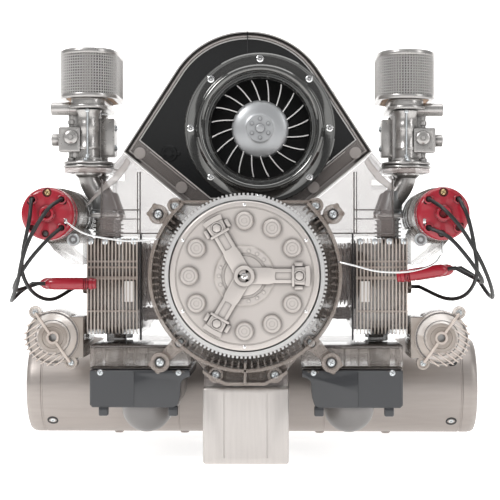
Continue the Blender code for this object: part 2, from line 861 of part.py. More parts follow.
def cylinder_pair(name, side):
    front, back = bore_stations(side)
    flanges = []
    for inner in (BARREL_INNER, BARREL_OUTER - BARREL_FLANGE):
        flanges.append(
            sided_box(
                side,
                inner,
                inner + BARREL_FLANGE,
                front - BARREL_FIN_RADIUS,
                back + BARREL_FIN_RADIUS,
                -BARREL_FIN_RADIUS,
                BARREL_FIN_RADIUS,
                edge=BARREL_FLANGE * 2,
                edge_axis=0,
            )
        )
    barrels = []
    bores = []
    for bore in (front, back):
        centre = (station(bore), CRANK_Z)
        barrels.append(turned("X", centre, barrel_profile(side), SMALL_ROUND))
        bores.append(bore_cutter(side, bore, BARREL_INNER - OVERRUN, BARREL_OUTER + OVERRUN))
    pair = joined(flanges[0], flanges[1], *barrels)
    finished(cut(pair, *bores), f"cylinder_pair_{name}", CLEAR)


def chamber(side, bore):
    """The half-round combustion chamber over one bore."""
    middle = HEAD_INNER + SINK
    dome = [
        (CHAMBER_RADIUS * math.cos(a), side * (middle + CHAMBER_RADIUS * math.sin(a)))
        for a in (math.radians(90 * i / DOME_STEPS) for i in range(DOME_STEPS))
    ]
    profile = [(0, side * (HEAD_INNER - OVERRUN)), (CHAMBER_RADIUS, side * (HEAD_INNER - OVERRUN))]
    profile += dome + [(0, side * (middle + CHAMBER_RADIUS))]
    return turned("X", (station(bore), CRANK_Z), profile, SMALL_ROUND)


def connector_terminals(side):
    """The short pins on the head's front that the two plug connectors sit on."""
    pins = []
    tilt = math.radians(CONNECTOR_TILT_DEGREES[side])
    for inner, at in (
        (FRONT_CONNECTOR_INNER, FRONT_CONNECTOR_STATION),
        (REAR_CONNECTOR_INNER, REAR_CONNECTOR_STATION),
    ):
        up = CONNECTOR_UP[side] + CONNECTOR_TERMINAL_IN * math.sin(tilt)
        pins.append(
            cylinder(
                "Y",
                TERMINAL_RADIUS,
                station(at + CONNECTOR_RADIUS + GAP),
                station(-HEAD_HALF_DEPTH + HEAD_FIN_REACH + SINK),
                (side * (inner + CONNECTOR_TERMINAL_IN), height(up)),
                sides=TINY_ROUND,
            )
        )
    return pins


def cylinder_head(name, side):
    core = sided_box(
        side,
        HEAD_INNER,
        HEAD_OUTER - SINK,
        HEAD_FIN_REACH - HEAD_HALF_DEPTH,
        HEAD_HALF_DEPTH - HEAD_FIN_REACH,
        HEAD_FIN_REACH - HEAD_BOTTOM_DOWN,
        HEAD_TOP_UP - HEAD_FIN_REACH,
    )
    pitch = (HEAD_OUTER - HEAD_INNER - HEAD_FIN_THICKNESS) / (HEAD_FIN_COUNT - 1)
    fins = []
    for fin in range(1, HEAD_FIN_COUNT):
        inner = HEAD_INNER + pitch * fin
        fins.append(
            sided_box(
                side,
                inner,
                inner + HEAD_FIN_THICKNESS,
                -HEAD_HALF_DEPTH,
                HEAD_HALF_DEPTH,
                -HEAD_BOTTOM_DOWN,
                HEAD_TOP_UP,
            )
        )
    ports = []
    chambers = []
    for bore in bore_stations(side):
        ports.append(
            cylinder(
                "Z",
                RISER_RADIUS,
                height(HEAD_TOP_UP - 2 * HEAD_FIN_REACH),
                height(RISER_TOP_UP),
                (side * RISER_OUT, station(bore)),
            )
        )
        ports.append(
            cylinder(
                "Z",
                EXHAUST_STUB_RADIUS,
                height(GAP - HEATER_TOP_DOWN),
                height(2 * HEAD_FIN_REACH - HEAD_BOTTOM_DOWN),
                (side * EXHAUST_STUB_OUT, station(bore)),
            )
        )
        across = sorted((side * (HEAD_OUTER - WELL_REACH), side * (HEAD_OUTER + WELL_REACH)))
        ports.append(cylinder("X", WELL_RADIUS, *across, (station(bore), height(WELL_UP)), sides=LUG_ROUND))
        chambers.append(chamber(side, bore))
    head = joined(core, *fins, *ports, *connector_terminals(side))
    finished(cut(head, *chambers), f"cylinder_head_{name}", CLEAR)


def cam_centre(side, cam):
    return side * cam[0], height(cam[1])


def intake_cam_housing(name, side):
    centre = cam_centre(side, INTAKE_CAM)
    back = station(CAM_BOX_BACK)
    front = station(INTAKE_BOX_FRONT)
    foot = plate([sided(side, INTAKE_FOOT)], "Y", front + SINK, back - SINK)
    body = cylinder("Y", INTAKE_BOX_RADIUS, front, back, centre, sides=ROUND)
    neck = cylinder("Y", INTAKE_NECK_RADIUS, station(CAP_BACK + GAP), front + SINK, centre, sides=ROUND)
    bore = cylinder("Y", CAM_BORE_RADIUS, station(CAP_BACK) - OVERRUN, back + OVERRUN, centre)
    finished(cut(joined(body, neck, foot), bore), f"intake_cam_housing_{name}", CLEAR)


def exhaust_outline(side):
    """The cover's round section, with cooling fins on its lower outer half."""
    points = arc((0, 0), EXHAUST_BOX_RADIUS, 60, 120, 4)
    points += arc((0, 0), EXHAUST_BOX_RADIUS, 135, 210, 4)
    step = 150 / EXHAUST_FIN_COUNT
    for fin in range(EXHAUST_FIN_COUNT):
        start = 225 + step * fin
        for turn, reach in ((0, 0), (0.35, EXHAUST_FIN_REACH), (0.7, 0)):
            points += arc((0, 0), EXHAUST_BOX_RADIUS + reach, start + step * turn, 0, 1)[:1]
    points += arc((0, 0), EXHAUST_BOX_RADIUS, 378, 405, 2)
    return [(side * (EXHAUST_CAM[0] + u), height(EXHAUST_CAM[1] + v)) for u, v in points]


def exhaust_cam_cover(name, side):
    centre = cam_centre(side, EXHAUST_CAM)
    front = station(EXHAUST_BOX_FRONT)
    back = station(CAM_BOX_BACK)
    body = plate([exhaust_outline(side)], "Y", front, back)
    eye = cylinder("Y", EXHAUST_EYE_BOSS, front - EXHAUST_EYE_RISE, front + SINK, centre, sides=ROUND)
    foot = sided_box(
        side,
        HEAD_OUTER + GAP,
        EXHAUST_CAM[0],
        EXHAUST_BOX_FRONT + 2 * SINK,
        CAM_BOX_BACK - SINK,
        EXHAUST_CAM[1] - EXHAUST_FOOT_HALF,
        EXHAUST_CAM[1] + EXHAUST_FOOT_HALF,
    )
    lugs = []
    for turn in (0, 180):
        angle = math.radians(180 - EXHAUST_LUG_DEGREES + turn)
        out = EXHAUST_CAM[0] + EXHAUST_LUG_REACH * math.cos(angle)
        up = EXHAUST_CAM[1] + EXHAUST_LUG_REACH * math.sin(angle)
        lugs.append(
            cylinder(
                "Y",
                EXHAUST_LUG_RADIUS,
                front + 3 * SINK,
                front + 2 * EXHAUST_LUG_RADIUS,
                (side * out, height(up)),
            )
        )
    room = cylinder("Y", CAM_BORE_RADIUS, front + EXHAUST_WALL, back + OVERRUN, centre)
    hole = cylinder(
        "Y",
        EXHAUST_EYE_RADIUS,
        front - EXHAUST_EYE_RISE - OVERRUN,
        front + EXHAUST_WALL + OVERRUN,
        centre,
        sides=TINY_ROUND,
    )
    finished(cut(joined(body, eye, foot, *lugs), room, hole), f"exhaust_cam_cover_{name}", CLEAR)


def distributor_cap(name, side):
    centre = cam_centre(side, INTAKE_CAM)
    front = station(CAP_FRONT)
    back = station(CAP_BACK)
    profile = [
        (0, back),
        (CAP_RADIUS, back),
        (CAP_RADIUS, front + CAP_EDGE),
        (CAP_RADIUS - CAP_EDGE, front),
        (0, front),
    ]
    body = turned("Y", centre, profile)
    tower = cylinder("Y", CAP_TOWER_RADIUS, front - CAP_TOWER_HEIGHT, front + SINK, centre)
    sockets = []
    depths = (front - OVERRUN, front + CAP_SOCKET_DEPTH)
    for across in SIDES.values():
        for up in SIDES.values():
            place = (centre[0] + across * CAP_SOCKET[0], centre[1] + up * CAP_SOCKET[1])
            sockets.append(cylinder("Y", CAP_SOCKET_RADIUS, *depths, place, sides=TINY_ROUND))
    finished(cut(joined(body, tower), *sockets), f"distributor_cap_{name}", RED)


def connector_line(side, inner, at):
    """The inner end and the direction of a plug connector's axis."""
    tilt = math.radians(CONNECTOR_TILT_DEGREES[side])
    start = Vector((side * inner, station(at), height(CONNECTOR_UP[side])))
    return start, Vector((side * math.cos(tilt), 0, math.sin(tilt)))


def plug_connector(name, side, inner, at):
    start, heading = connector_line(side, inner, at)
    profile = [
        (0, 0),
        (CONNECTOR_RADIUS - CONNECTOR_NOSE, 0),
        (CONNECTOR_RADIUS, CONNECTOR_NOSE),
        (CONNECTOR_RADIUS, CONNECTOR_LENGTH - CONNECTOR_NOSE),
        (CONNECTOR_RADIUS - CONNECTOR_NOSE / 2, CONNECTOR_LENGTH),
        (0, CONNECTOR_LENGTH),
    ]
    made = turned("Z", (0, 0), profile, SMALL_ROUND)
    made.data.transform(Matrix.Translation(start) @ heading.to_track_quat("Z", "Y").to_matrix().to_4x4())
    finished(made, f"plug_connector_{name}", RED)


def housing_outline(inset, diagonal_inset):
    """The fan housing seen from the front, drawn in by a wall, and by less or more on its diagonals."""
    slope = math.radians(HOUSING_SLOPE_DEGREES)
    radius = HOUSING_ARC_RADIUS - inset
    normal = (math.sin(slope), math.cos(slope))
    touch = (radius * normal[0], HOUSING_ARC_UP + radius * normal[1])
    fall = (math.cos(slope), -math.sin(slope))
    run = Vector(HOUSING_CORNER) - Vector(HOUSING_LOW_POINT)
    run.normalize()
    shift = Vector((-run.y, run.x)) * diagonal_inset
    low_point = Vector(HOUSING_LOW_POINT) + shift
    corner = meeting(touch, fall, low_point, run)
    foot = meeting(low_point, run, (0, HOUSING_BOTTOM_UP + inset), (1, 0))
    start = 90 - HOUSING_SLOPE_DEGREES
    top = arc((0, HOUSING_ARC_UP), radius, start, 180 - start, HOUSING_ARC_STEPS)
    outline = [foot, corner] + top + [(-corner[0], corner[1]), (-foot[0], foot[1])]
    return sided(RIGHT, outline)


def diagonal_band(side, facing, front):
    """The raised band along one diagonal, with a round boss near each of its ends."""
    run = (Vector(HOUSING_CORNER) - Vector(HOUSING_LOW_POINT)).normalized()
    inward = Vector((-run.y, run.x))
    half = inward * HOUSING_BAND_WIDTH
    low = Vector(HOUSING_LOW_POINT) - run * SINK + inward * SINK
    high = Vector(HOUSING_CORNER) - run * HOUSING_BAND_WIDTH + inward * SINK
    strip = [tuple(p) for p in (low, high, high + half, low + half)]
    levels = sorted((front + facing * SINK, front - facing * HOUSING_BAND_RISE))
    parts = [plate([sided(side, strip)], "Y", *levels)]
    for end, way in ((low, 1), (high, -1)):
        place = end + run * way * HOUSING_BAND_BOSS + half / 2
        boss_levels = sorted((front + facing * SINK, front - facing * HOUSING_BAND_RISE * 2))
        parts.append(cylinder("Y", HOUSING_BAND_BOSS, *boss_levels, sided(side, [place])[0]))
    return parts


def fan_housing(name, facing):
    """One half of the fan housing. It faces the flywheel (1) or the belt (-1)."""
    face = station(-facing * HOUSING_HALF_DEPTH)
    inside = face + facing * HOUSING_FACE
    seam = station(-facing * SPLIT / 2)
    body = plate([housing_outline(0, 0)], "Y", *sorted((face, seam)))
    room = plate([housing_outline(HOUSING_WALL, -OVERRUN)], "Y", *sorted((inside, seam + facing * OVERRUN)))
    inner = RING_THROAT + RING_THROAT_WALL if facing == 1 else FAN_SHAFT_RADIUS
    sides = ROUND if facing == 1 else SMALL_ROUND
    radius = around(inner, sides)
    hole = cylinder(
        "Y",
        radius,
        *sorted((face - facing * OVERRUN, inside + facing * OVERRUN)),
        (FAN_RIGHT, height(FAN_UP)),
        sides=sides,
    )
    body = cut(body, room, hole)
    bands = diagonal_band(LEFT, facing, face) + diagonal_band(RIGHT, facing, face)
    finished(joined(body, *bands), f"fan_shroud_{name}", SMOKED)


def fan_inlet_ring():
    back = station(-HOUSING_HALF_DEPTH - GAP)
    front = back - RING_THICKNESS
    profile = [
        (RING_RADIUS, back),
        (RING_RADIUS, front),
        (RING_LIP_OUTER, front),
        (RING_LIP_TOP, front - RING_LIP_RISE),
        ((RING_LIP_TOP + RING_THROAT) / 2, front - RING_LIP_RISE * RING_LIP_ROUND_SHARE),
        (RING_THROAT, front),
        (RING_THROAT, station(RING_THROAT_BACK)),
        (RING_THROAT + RING_THROAT_WALL, station(RING_THROAT_BACK)),
        (RING_THROAT + RING_THROAT_WALL, back),
    ]
    finished(turned("Y", (FAN_RIGHT, height(FAN_UP)), profile, ROUND), "fan_inlet_ring", BRIGHT)


def pulley(radius, centre):
    """A pulley with a flat groove for the belt."""
    front = station(PULLEY_FRONT)
    back = front + PULLEY_WIDTH
    groove = radius - PULLEY_GROOVE
    profile = [
        (0, front),
        (radius, front),
        (radius, front + PULLEY_FLANGE),
        (groove, front + PULLEY_FLANGE),
        (groove, back - PULLEY_FLANGE),
        (radius, back - PULLEY_FLANGE),
        (radius, back),
        (0, back),
    ]
    return turned("Y", centre, profile, ROUND)


def blade_outline(turn):
    """One blade seen from the front: thin, swept back towards its tip."""
    radii = (BLADE_ROOT, BLADE_MIDDLE, BLADE_TIP)
    sides = ([], [])
    for radius, share in zip(radii, BLADE_SWEEP_SHARES):
        angle = turn + math.radians(BLADE_SWEEP_DEGREES * share)
        half = BLADE_THICKNESS / 2 / radius
        for points, way in zip(sides, (-1, 1)):
            place = angle + way * half
            points.append((FAN_RIGHT + radius * math.cos(place), height(FAN_UP) + radius * math.sin(place)))
    return sides[0] + sides[1][::-1]


def fan(axis_empty):
    centre = (FAN_RIGHT, height(FAN_UP))
    front = station(FAN_HUB_FRONT)
    profile = [
        (0, front - FAN_DOME_RISE - FAN_CENTRE_RISE),
        (FAN_CENTRE_RADIUS, front - FAN_DOME_RISE - FAN_CENTRE_RISE),
        (FAN_CENTRE_RADIUS, front - FAN_DOME_RISE),
        ((FAN_CENTRE_RADIUS + FAN_HUB_RADIUS) / 2, front - FAN_DOME_RISE * FAN_DOME_ROUND_SHARE),
        (FAN_HUB_RADIUS, front),
        (FAN_HUB_RADIUS, station(FAN_HUB_BACK)),
        (0, station(FAN_HUB_BACK)),
    ]
    hub = turned("Y", centre, profile, ROUND)
    blades = []
    for blade in range(BLADE_COUNT):
        outline = blade_outline(FULL_TURN * blade / BLADE_COUNT)
        blades.append(plate([outline], "Y", station(BLADE_FRONT), station(BLADE_BACK)))
    shaft_ends = (station(FAN_HUB_BACK) - SINK, station(PULLEY_FRONT) + SINK)
    shaft = cylinder("Y", FAN_SHAFT_RADIUS, *shaft_ends, centre)
    made = joined(hub, in_one_mesh(blades), shaft, pulley(FAN_PULLEY_RADIUS, centre))
    finished(made, "fan", SILVER, axis_empty)


def generator():
    centre = (FAN_RIGHT, height(FAN_UP))
    front = station(HOUSING_HALF_DEPTH + GAP)
    back = front + GENERATOR_LENGTH
    bore = around(FAN_SHAFT_RADIUS, ROUND)
    profile = [
        (bore, front),
        (GENERATOR_RADIUS, front),
        (GENERATOR_RADIUS, back - GENERATOR_END),
        (GENERATOR_END_RADIUS, back),
        (bore, back),
    ]
    finished(turned("Y", centre, profile), "generator", SILVER)


def belt_outline(extra):
    """The belt's inner line, or its outer one, round both pulleys."""
    low = (0, CRANK_Z)
    high = (FAN_RIGHT, height(FAN_UP))
    low_radius = CRANK_PULLEY_RADIUS - PULLEY_GROOVE + BELT_CLEARANCE + extra
    high_radius = FAN_PULLEY_RADIUS - PULLEY_GROOVE + BELT_CLEARANCE + extra
    return linked_circles(low, low_radius, high, high_radius, BELT_STEPS)


def v_belt():
    front = station(PULLEY_FRONT) + (PULLEY_WIDTH - BELT_WIDTH) / 2
    loops = [belt_outline(BELT_THICKNESS), belt_outline(0)]
    finished(plate(loops, "Y", front, front + BELT_WIDTH), "v_belt", RUBBER)


def duct_outline(wall):
    """An air duct seen from the front, from the housing's diagonal down to the fins."""
    run = (Vector(HOUSING_CORNER) - Vector(HOUSING_LOW_POINT)).normalized()
    outward = Vector((run.y, -run.x))
    mouth = Vector(HOUSING_LOW_POINT) + outward * (GAP if not wall else -OVERRUN)
    outer = DUCT_OUTER - wall
    inner = DUCT_INNER + wall
    wing = Vector(DUCT_WING_SLOPE).normalized()
    wing_start = Vector(HOUSING_CORNER) - Vector((-wing.y, wing.x)) * wall
    top = meeting(mouth, run, wing_start, wing)
    elbow = meeting(wing_start, wing, (outer, 0), (0, 1))
    shoulder = meeting(mouth, run, (inner, 0), (0, 1))
    bottom = DUCT_BOTTOM_UP - (OVERRUN if wall else 0)
    return [top, elbow, (outer, bottom), (inner, bottom), shoulder]


def flared(made, wall):
    """Narrows a duct evenly from its foot to its mouth, so that its front and back lean in."""
    foot = height(DUCT_BOTTOM_UP)
    rise = HOUSING_CORNER[1] - DUCT_BOTTOM_UP
    for vertex in made.data.vertices:
        share = (vertex.co.z - foot) / rise
        half = DUCT_BOTTOM_HALF_DEPTH + (DUCT_TOP_HALF_DEPTH - DUCT_BOTTOM_HALF_DEPTH) * share - wall
        vertex.co.y = MIDDLE_Y + math.copysign(half, vertex.co.y - MIDDLE_Y)
    return made


def air_duct(name, side):
    ends = (station(-DUCT_BOTTOM_HALF_DEPTH), station(DUCT_BOTTOM_HALF_DEPTH))
    body = flared(plate([sided(side, duct_outline(0))], "Y", *ends), 0)
    room = flared(plate([sided(side, duct_outline(DUCT_WALL))], "Y", *ends), DUCT_WALL)
    front, back = bore_stations(side)
    runner_notch = sided_box(
        side,
        DUCT_NOTCH_INNER,
        DUCT_OUTER + OVERRUN,
        front - DUCT_NOTCH_HALF,
        back + DUCT_NOTCH_HALF,
        DUCT_BOTTOM_UP - OVERRUN,
        DUCT_NOTCH_TOP_UP,
    )
    plate_notch = sided_box(
        side,
        DUCT_PLATE_NOTCH_INNER,
        DUCT_OUTER + OVERRUN,
        -DUCT_BOTTOM_HALF_DEPTH,
        DUCT_BOTTOM_HALF_DEPTH,
        DUCT_NOTCH_TOP_UP - SINK,
        DUCT_PLATE_NOTCH_TOP_UP,
    )
    body = cut(body, room, runner_notch, plate_notch)
    baffle = sided_box(
        side,
        BAFFLE_INNER,
        BAFFLE_OUTER,
        BAFFLE_FRONT,
        BAFFLE_BACK,
        -BAFFLE_BOTTOM_DOWN,
        BAFFLE_TOP_UP,
    )
    post = sided_box(
        side,
        BAFFLE_OUTER - BAFFLE_POST,
        BAFFLE_OUTER,
        BAFFLE_FRONT - BAFFLE_POST_REACH,
        BAFFLE_FRONT + SINK,
        -BAFFLE_BOTTOM_DOWN,
        BAFFLE_TOP_UP,
    )
    finished(joined(body, baffle, post), f"air_duct_{name}", CLEAR)


def bank_middle(side):
    front, back = bore_stations(side)
    return (front + back) / 2


def slot_plate(side, half_width, low, high, half_length=None):
    """A plate with round ends over both cylinders of a bank."""
    reach = BORE_PITCH / 2 + half_width if half_length is None else half_length
    outline = slot_outline((side * CARB_OUT, station(bank_middle(side))), half_width, reach)
    return plate([outline], "Z", height(low), height(high))


def runner(side, bore):
    """A curved runner from the plate down and in to the head."""
    top = PLATE_BOTTOM_UP + PLATE_THICKNESS - SINK
    foot = RISER_TOP_UP + GAP
    fall = top - foot - SINK
    shares = ((0, 0), (0.25, 0), (0.5, 0.35), (0.78, 1), (1, 1))
    lean = CARB_OUT - RISER_OUT
    points = [(side * (CARB_OUT - lean * s), station(bore), height(top - fall * t)) for t, s in shares]
    pipe = shape(tidied(baked(tube(points, RUNNER_RADIUS))))
    flange = sided_box(
        side,
        RISER_OUT - RUNNER_FLANGE_HALF,
        RISER_OUT + RUNNER_FLANGE_HALF,
        bore - RUNNER_FLANGE_HALF,
        bore + RUNNER_FLANGE_HALF,
        foot,
        foot + RUNNER_FLANGE,
    )
    return joined(flange, pipe)


def intake_manifold(name, side):
    base = slot_plate(side, PLATE_HALF_WIDTH, PLATE_BOTTOM_UP, PLATE_BOTTOM_UP + PLATE_THICKNESS)
    runners = [runner(side, bore) for bore in bore_stations(side)]
    finished(joined(base, *runners, solver="MANIFOLD"), f"intake_manifold_{name}", SILVER)


def carburettor(name, side):
    front, back = bore_stations(side)
    foot = PLATE_BOTTOM_UP + PLATE_THICKNESS + GAP
    deck = foot + CARB_BASE_THICKNESS
    top = CARB_BARREL_TOP_UP
    neck_top = FILTER_BOTTOM_UP - GAP
    base = slot_plate(side, CARB_BASE_HALF_WIDTH, foot, deck)
    flange = slot_plate(side, CARB_TOP_HALF_WIDTH, top - CARB_TOP_FLANGE, top)
    neck = slot_plate(side, CARB_NECK_HALF_WIDTH, top - SINK, neck_top)
    barrels = []
    bores = []
    for bore in (front, back):
        centre = (side * CARB_OUT, station(bore))
        barrels.append(cylinder("Z", CARB_BARREL_RADIUS, height(deck - SINK), height(top - SINK), centre))
        bores.append(
            cylinder(
                "Z",
                CARB_BORE_RADIUS,
                height(neck_top - CARB_BORE_DEPTH),
                height(neck_top) + OVERRUN,
                centre,
            )
        )
    web = sided_box(
        side,
        CARB_OUT - CARB_WEB_HALF_WIDTH,
        CARB_OUT + CARB_WEB_HALF_WIDTH,
        front,
        back,
        deck - SINK,
        top - SINK,
    )
    bowl_span = sorted((side * CARB_OUT, side * BOWL_OUTER))
    bowl = cylinder("X", BOWL_RADIUS, *bowl_span, (station(front), height(BOWL_UP)))
    pump = sided_box(
        side,
        CARB_OUT,
        PUMP_OUTER,
        front - PUMP_HALF_DEPTH,
        front + PUMP_HALF_DEPTH,
        PUMP_BOTTOM_UP,
        PUMP_TOP_UP,
    )
    cap_span = sorted((side * (PUMP_OUTER - SINK), side * PUMP_CAP_OUTER))
    cap_up = (PUMP_BOTTOM_UP + PUMP_TOP_UP) / 2
    cap = cylinder("X", PUMP_CAP_RADIUS, *cap_span, (station(front), height(cap_up)))
    middle = bank_middle(side)
    side_box = sided_box(
        side,
        SIDE_BOX_INNER,
        CARB_OUT,
        middle - SIDE_BOX_HALF_DEPTH,
        middle + SIDE_BOX_HALF_DEPTH,
        SIDE_BOX_BOTTOM_UP,
        SIDE_BOX_TOP_UP,
    )
    body = joined(base, web, *barrels, flange, neck, bowl, pump, cap, side_box)
    finished(cut(body, *bores), f"carburettor_{name}", SILVER)


def air_filter(name, side):
    bottom = FILTER_BOTTOM_UP
    top = bottom + FILTER_HEIGHT
    body = slot_plate(side, FILTER_HALF_WIDTH, bottom, top, FILTER_HALF_LENGTH)
    lid = slot_plate(
        side,
        FILTER_HALF_WIDTH + FILTER_RIM,
        top - FILTER_RIM_HEIGHT,
        top - SINK,
        FILTER_HALF_LENGTH + FILTER_RIM,
    )
    room = slot_plate(
        side,
        FILTER_HALF_WIDTH - FILTER_WALL,
        bottom + FILTER_FLOOR,
        top - FILTER_FLOOR,
        FILTER_HALF_LENGTH - FILTER_WALL,
    )
    mouth = slot_plate(
        side,
        FILTER_MOUTH_HALF_WIDTH,
        bottom - OVERRUN,
        bottom + FILTER_FLOOR + OVERRUN,
    )
    knobs = [
        cylinder(
            "Z",
            FILTER_KNOB_RADIUS,
            height(top - SINK),
            height(top + FILTER_KNOB_HEIGHT),
            (side * CARB_OUT, station(bore)),
            sides=TINY_ROUND,
        )
        for bore in bore_stations(side)
    ]
    finished(cut(joined(body, lid, *knobs), room, mouth), f"air_filter_{name}", BRIGHT)


def heater_box(name, side):
    body = sided_box(
        side,
        HEATER_INNER,
        HEATER_OUTER,
        HEATER_FRONT,
        HEATER_BACK,
        -HEATER_BOTTOM_DOWN,
        -HEATER_TOP_DOWN,
        edge=HEATER_EDGE,
        edge_axis=1,
    )
    finished(body, f"heater_box_{name}", CLEAR)


def heater_cover(name, side):
    """The black cover, with a curved notch at its inner lower corner and two feet."""
    notch = arc((COVER_BOX_INNER, -COVER_BOX_BOTTOM_DOWN + COVER_NOTCH_HEIGHT), COVER_NOTCH_WIDTH, 90, 0, 3)
    outline = [(COVER_BOX_INNER, -COVER_BOX_TOP_DOWN)] + notch
    outline += [
        (COVER_BOX_INNER + COVER_NOTCH_WIDTH, -COVER_BOX_BOTTOM_DOWN),
        (COVER_BOX_OUTER, -COVER_BOX_BOTTOM_DOWN),
        (COVER_BOX_OUTER, -COVER_BOX_TOP_DOWN),
    ]
    body = plate([sided(side, outline)], "Y", station(COVER_BOX_FRONT), station(COVER_BOX_BACK))
    feet = []
    for place in COVER_FOOT_INS:
        feet.append(
            sided_box(
                side,
                COVER_BOX_OUTER - place,
                COVER_BOX_OUTER - place + COVER_FOOT_WIDTH,
                COVER_BOX_FRONT + SINK,
                COVER_BOX_FRONT + SINK + COVER_FOOT_WIDTH,
                -COVER_BOX_BOTTOM_DOWN - COVER_FOOT_HEIGHT,
                -COVER_BOX_BOTTOM_DOWN + SINK,
            )
        )
    finished(joined(body, *feet), f"heater_cover_{name}", BLACK)


def silencer_elbow(side):
    """A short inlet with a round front end, trimmed where it meets the black cover."""
    centre = (side * ELBOW_OUT, height(ELBOW_UP))
    start = station(ELBOW_FRONT)
    end = station(SILENCER_STATION)
    profile = [(0, start)]
    for step in range(1, DOME_STEPS + 1):
        angle = math.radians(90 * step / DOME_STEPS)
        profile.append((ELBOW_RADIUS * math.sin(angle), start + ELBOW_RADIUS * (1 - math.cos(angle))))
    profile += [(ELBOW_RADIUS, end), (0, end)]
    pipe = turned("Y", centre, profile, ROUND)
    trim = sided_box(
        side,
        COVER_BOX_INNER - OVERRUN,
        COVER_BOX_OUTER + OVERRUN,
        ELBOW_FRONT - OVERRUN,
        COVER_BOX_BACK + GAP,
        -COVER_BOX_BOTTOM_DOWN - GAP,
        -COVER_BOX_TOP_DOWN,
    )
    foot_trim = sided_box(
        side,
        COVER_BOX_INNER - OVERRUN,
        COVER_BOX_OUTER + OVERRUN,
        COVER_BOX_BACK - OVERRUN,
        HEATER_BACK + GAP,
        -HEATER_BOTTOM_DOWN - GAP,
        -HEATER_TOP_DOWN,
    )
    return cut(pipe, trim, foot_trim)


def silencer():
    centre = (station(SILENCER_STATION), SILENCER_Z)
    end = SILENCER_HALF_LENGTH
    profile = [
        (0, -end),
        (SILENCER_RADIUS - SILENCER_EDGE, -end),
        (SILENCER_RADIUS, SILENCER_EDGE - end),
        (SILENCER_RADIUS, end - SILENCER_EDGE),
        (SILENCER_RADIUS - SILENCER_EDGE, end),
        (0, end),
    ]
    drum = turned("X", centre, profile, ROUND)
    nubs = []
    for side in SIDES.values():
        for out in NUB_OUTS:
            nubs.append(
                cylinder(
                    "Z",
                    NUB_RADIUS,
                    0,
                    SILENCER_Z - SILENCER_RADIUS + NUB_RADIUS,
                    (side * out, centre[0]),
                    sides=TINY_ROUND,
                )
            )
    finished(joined(drum, silencer_elbow(LEFT), silencer_elbow(RIGHT), *nubs), "silencer", WARM_SILVER)


def flywheel(axis_empty):
    front = station(FLYWHEEL_FRONT)
    root = GEAR_RADIUS - GEAR_TOOTH_HEIGHT
    tips = circle((0, CRANK_Z), GEAR_RADIUS, GEAR_TEETH)
    valleys = arc((0, CRANK_Z), root, 180 / GEAR_TEETH, 360 + 180 / GEAR_TEETH, GEAR_TEETH)
    teeth = []
    for tip, valley in zip(tips, valleys):
        teeth += [tip, valley]
    gear = plate([teeth], "Y", front, front + GEAR_THICKNESS)
    disc = cylinder(
        "Y",
        FLYWHEEL_DISC_RADIUS,
        front + GEAR_THICKNESS - SINK,
        front + FLYWHEEL_THICKNESS,
        (0, CRANK_Z),
        sides=FINE,
    )
    finished(joined(gear, disc), "flywheel", SILVER, axis_empty)


def spring_cap(turn, back):
    """A round cap over one of the clutch springs."""
    centre = (SPRING_CAP_CIRCLE * math.cos(turn), CRANK_Z + SPRING_CAP_CIRCLE * math.sin(turn))
    return cylinder(
        "Y",
        SPRING_CAP_RADIUS * SPRING_CAP_TOP_SHARE,
        back - SPRING_CAP_HEIGHT,
        back + SINK,
        centre,
        far_radius=SPRING_CAP_RADIUS,
    )


def lever(turn, back):
    """A release lever with a wider head at its outer end."""
    neck = LEVER_REACH - LEVER_HEAD_LENGTH
    half = LEVER_WIDTH / 2
    head = LEVER_HEAD_WIDTH / 2
    start = CLUTCH_HUB_RADIUS - LEVER_HEIGHT / 4
    outline = [(start, -half), (neck, -half), (neck, -head), (LEVER_REACH, -head)]
    outline += [(LEVER_REACH, head), (neck, head), (neck, half), (start, half)]
    turning = Matrix.Rotation(turn, 2)
    placed = [turning @ Vector(p) for p in outline]
    return plate([[(p.x, p.y + CRANK_Z) for p in placed]], "Y", back - LEVER_HEIGHT, back + SINK)


def clutch_cover(axis_empty):
    back = station(FLYWHEEL_FRONT) - GAP
    front = back - COVER_THICKNESS
    profile = [
        (0, back),
        (COVER_RADIUS, back),
        (COVER_RADIUS, front + COVER_EDGE),
        (COVER_RADIUS - COVER_EDGE, front),
        (CENTRE_DISC_RADIUS, front),
        (CENTRE_DISC_RADIUS, front - CENTRE_DISC_HEIGHT),
        (0, front - CENTRE_DISC_HEIGHT),
    ]
    body = turned("Y", (0, CRANK_Z), profile, FINE)
    levers = [lever(FULL_TURN * i / LEVER_COUNT, front) for i in range(LEVER_COUNT)]
    places = SPRING_CAP_COUNT + LEVER_COUNT
    caps = []
    for number in range(SPRING_CAP_COUNT):
        levers_passed = 1 + number // SPRING_CAPS_BETWEEN_LEVERS
        caps.append(spring_cap(FULL_TURN * (number + levers_passed) / places, front))
    hub = cylinder("Y", CLUTCH_HUB_RADIUS, front - CLUTCH_HUB_HEIGHT, front + SINK, (0, CRANK_Z))
    bore = cylinder(
        "Y",
        CLUTCH_BORE_RADIUS,
        front - CLUTCH_HUB_HEIGHT - OVERRUN,
        front - CLUTCH_HUB_HEIGHT + CLUTCH_BORE_DEPTH,
        (0, CRANK_Z),
    )
    body = joined(body, in_one_mesh(caps), *levers, hub)
    finished(cut(body, bore), "clutch_cover", SILVER, axis_empty)


def crank_pins():
    """Each crankpin as (name of its cylinder, side, station, distance of the pin from the axis along X)."""
    pins = []
    for name, side in SIDES.items():
        front, back = bore_stations(side)
        pins.append((f"{name}_front", side, front, side * THROW))
        pins.append((f"{name}_rear", side, back, -side * THROW))
    return sorted(pins, key=lambda pin: pin[2])


def web(first, first_radius, second, second_radius, low, high):
    outline = linked_circles(first, first_radius, second, second_radius, 3)
    return plate([outline], "Y", station(low), station(high))


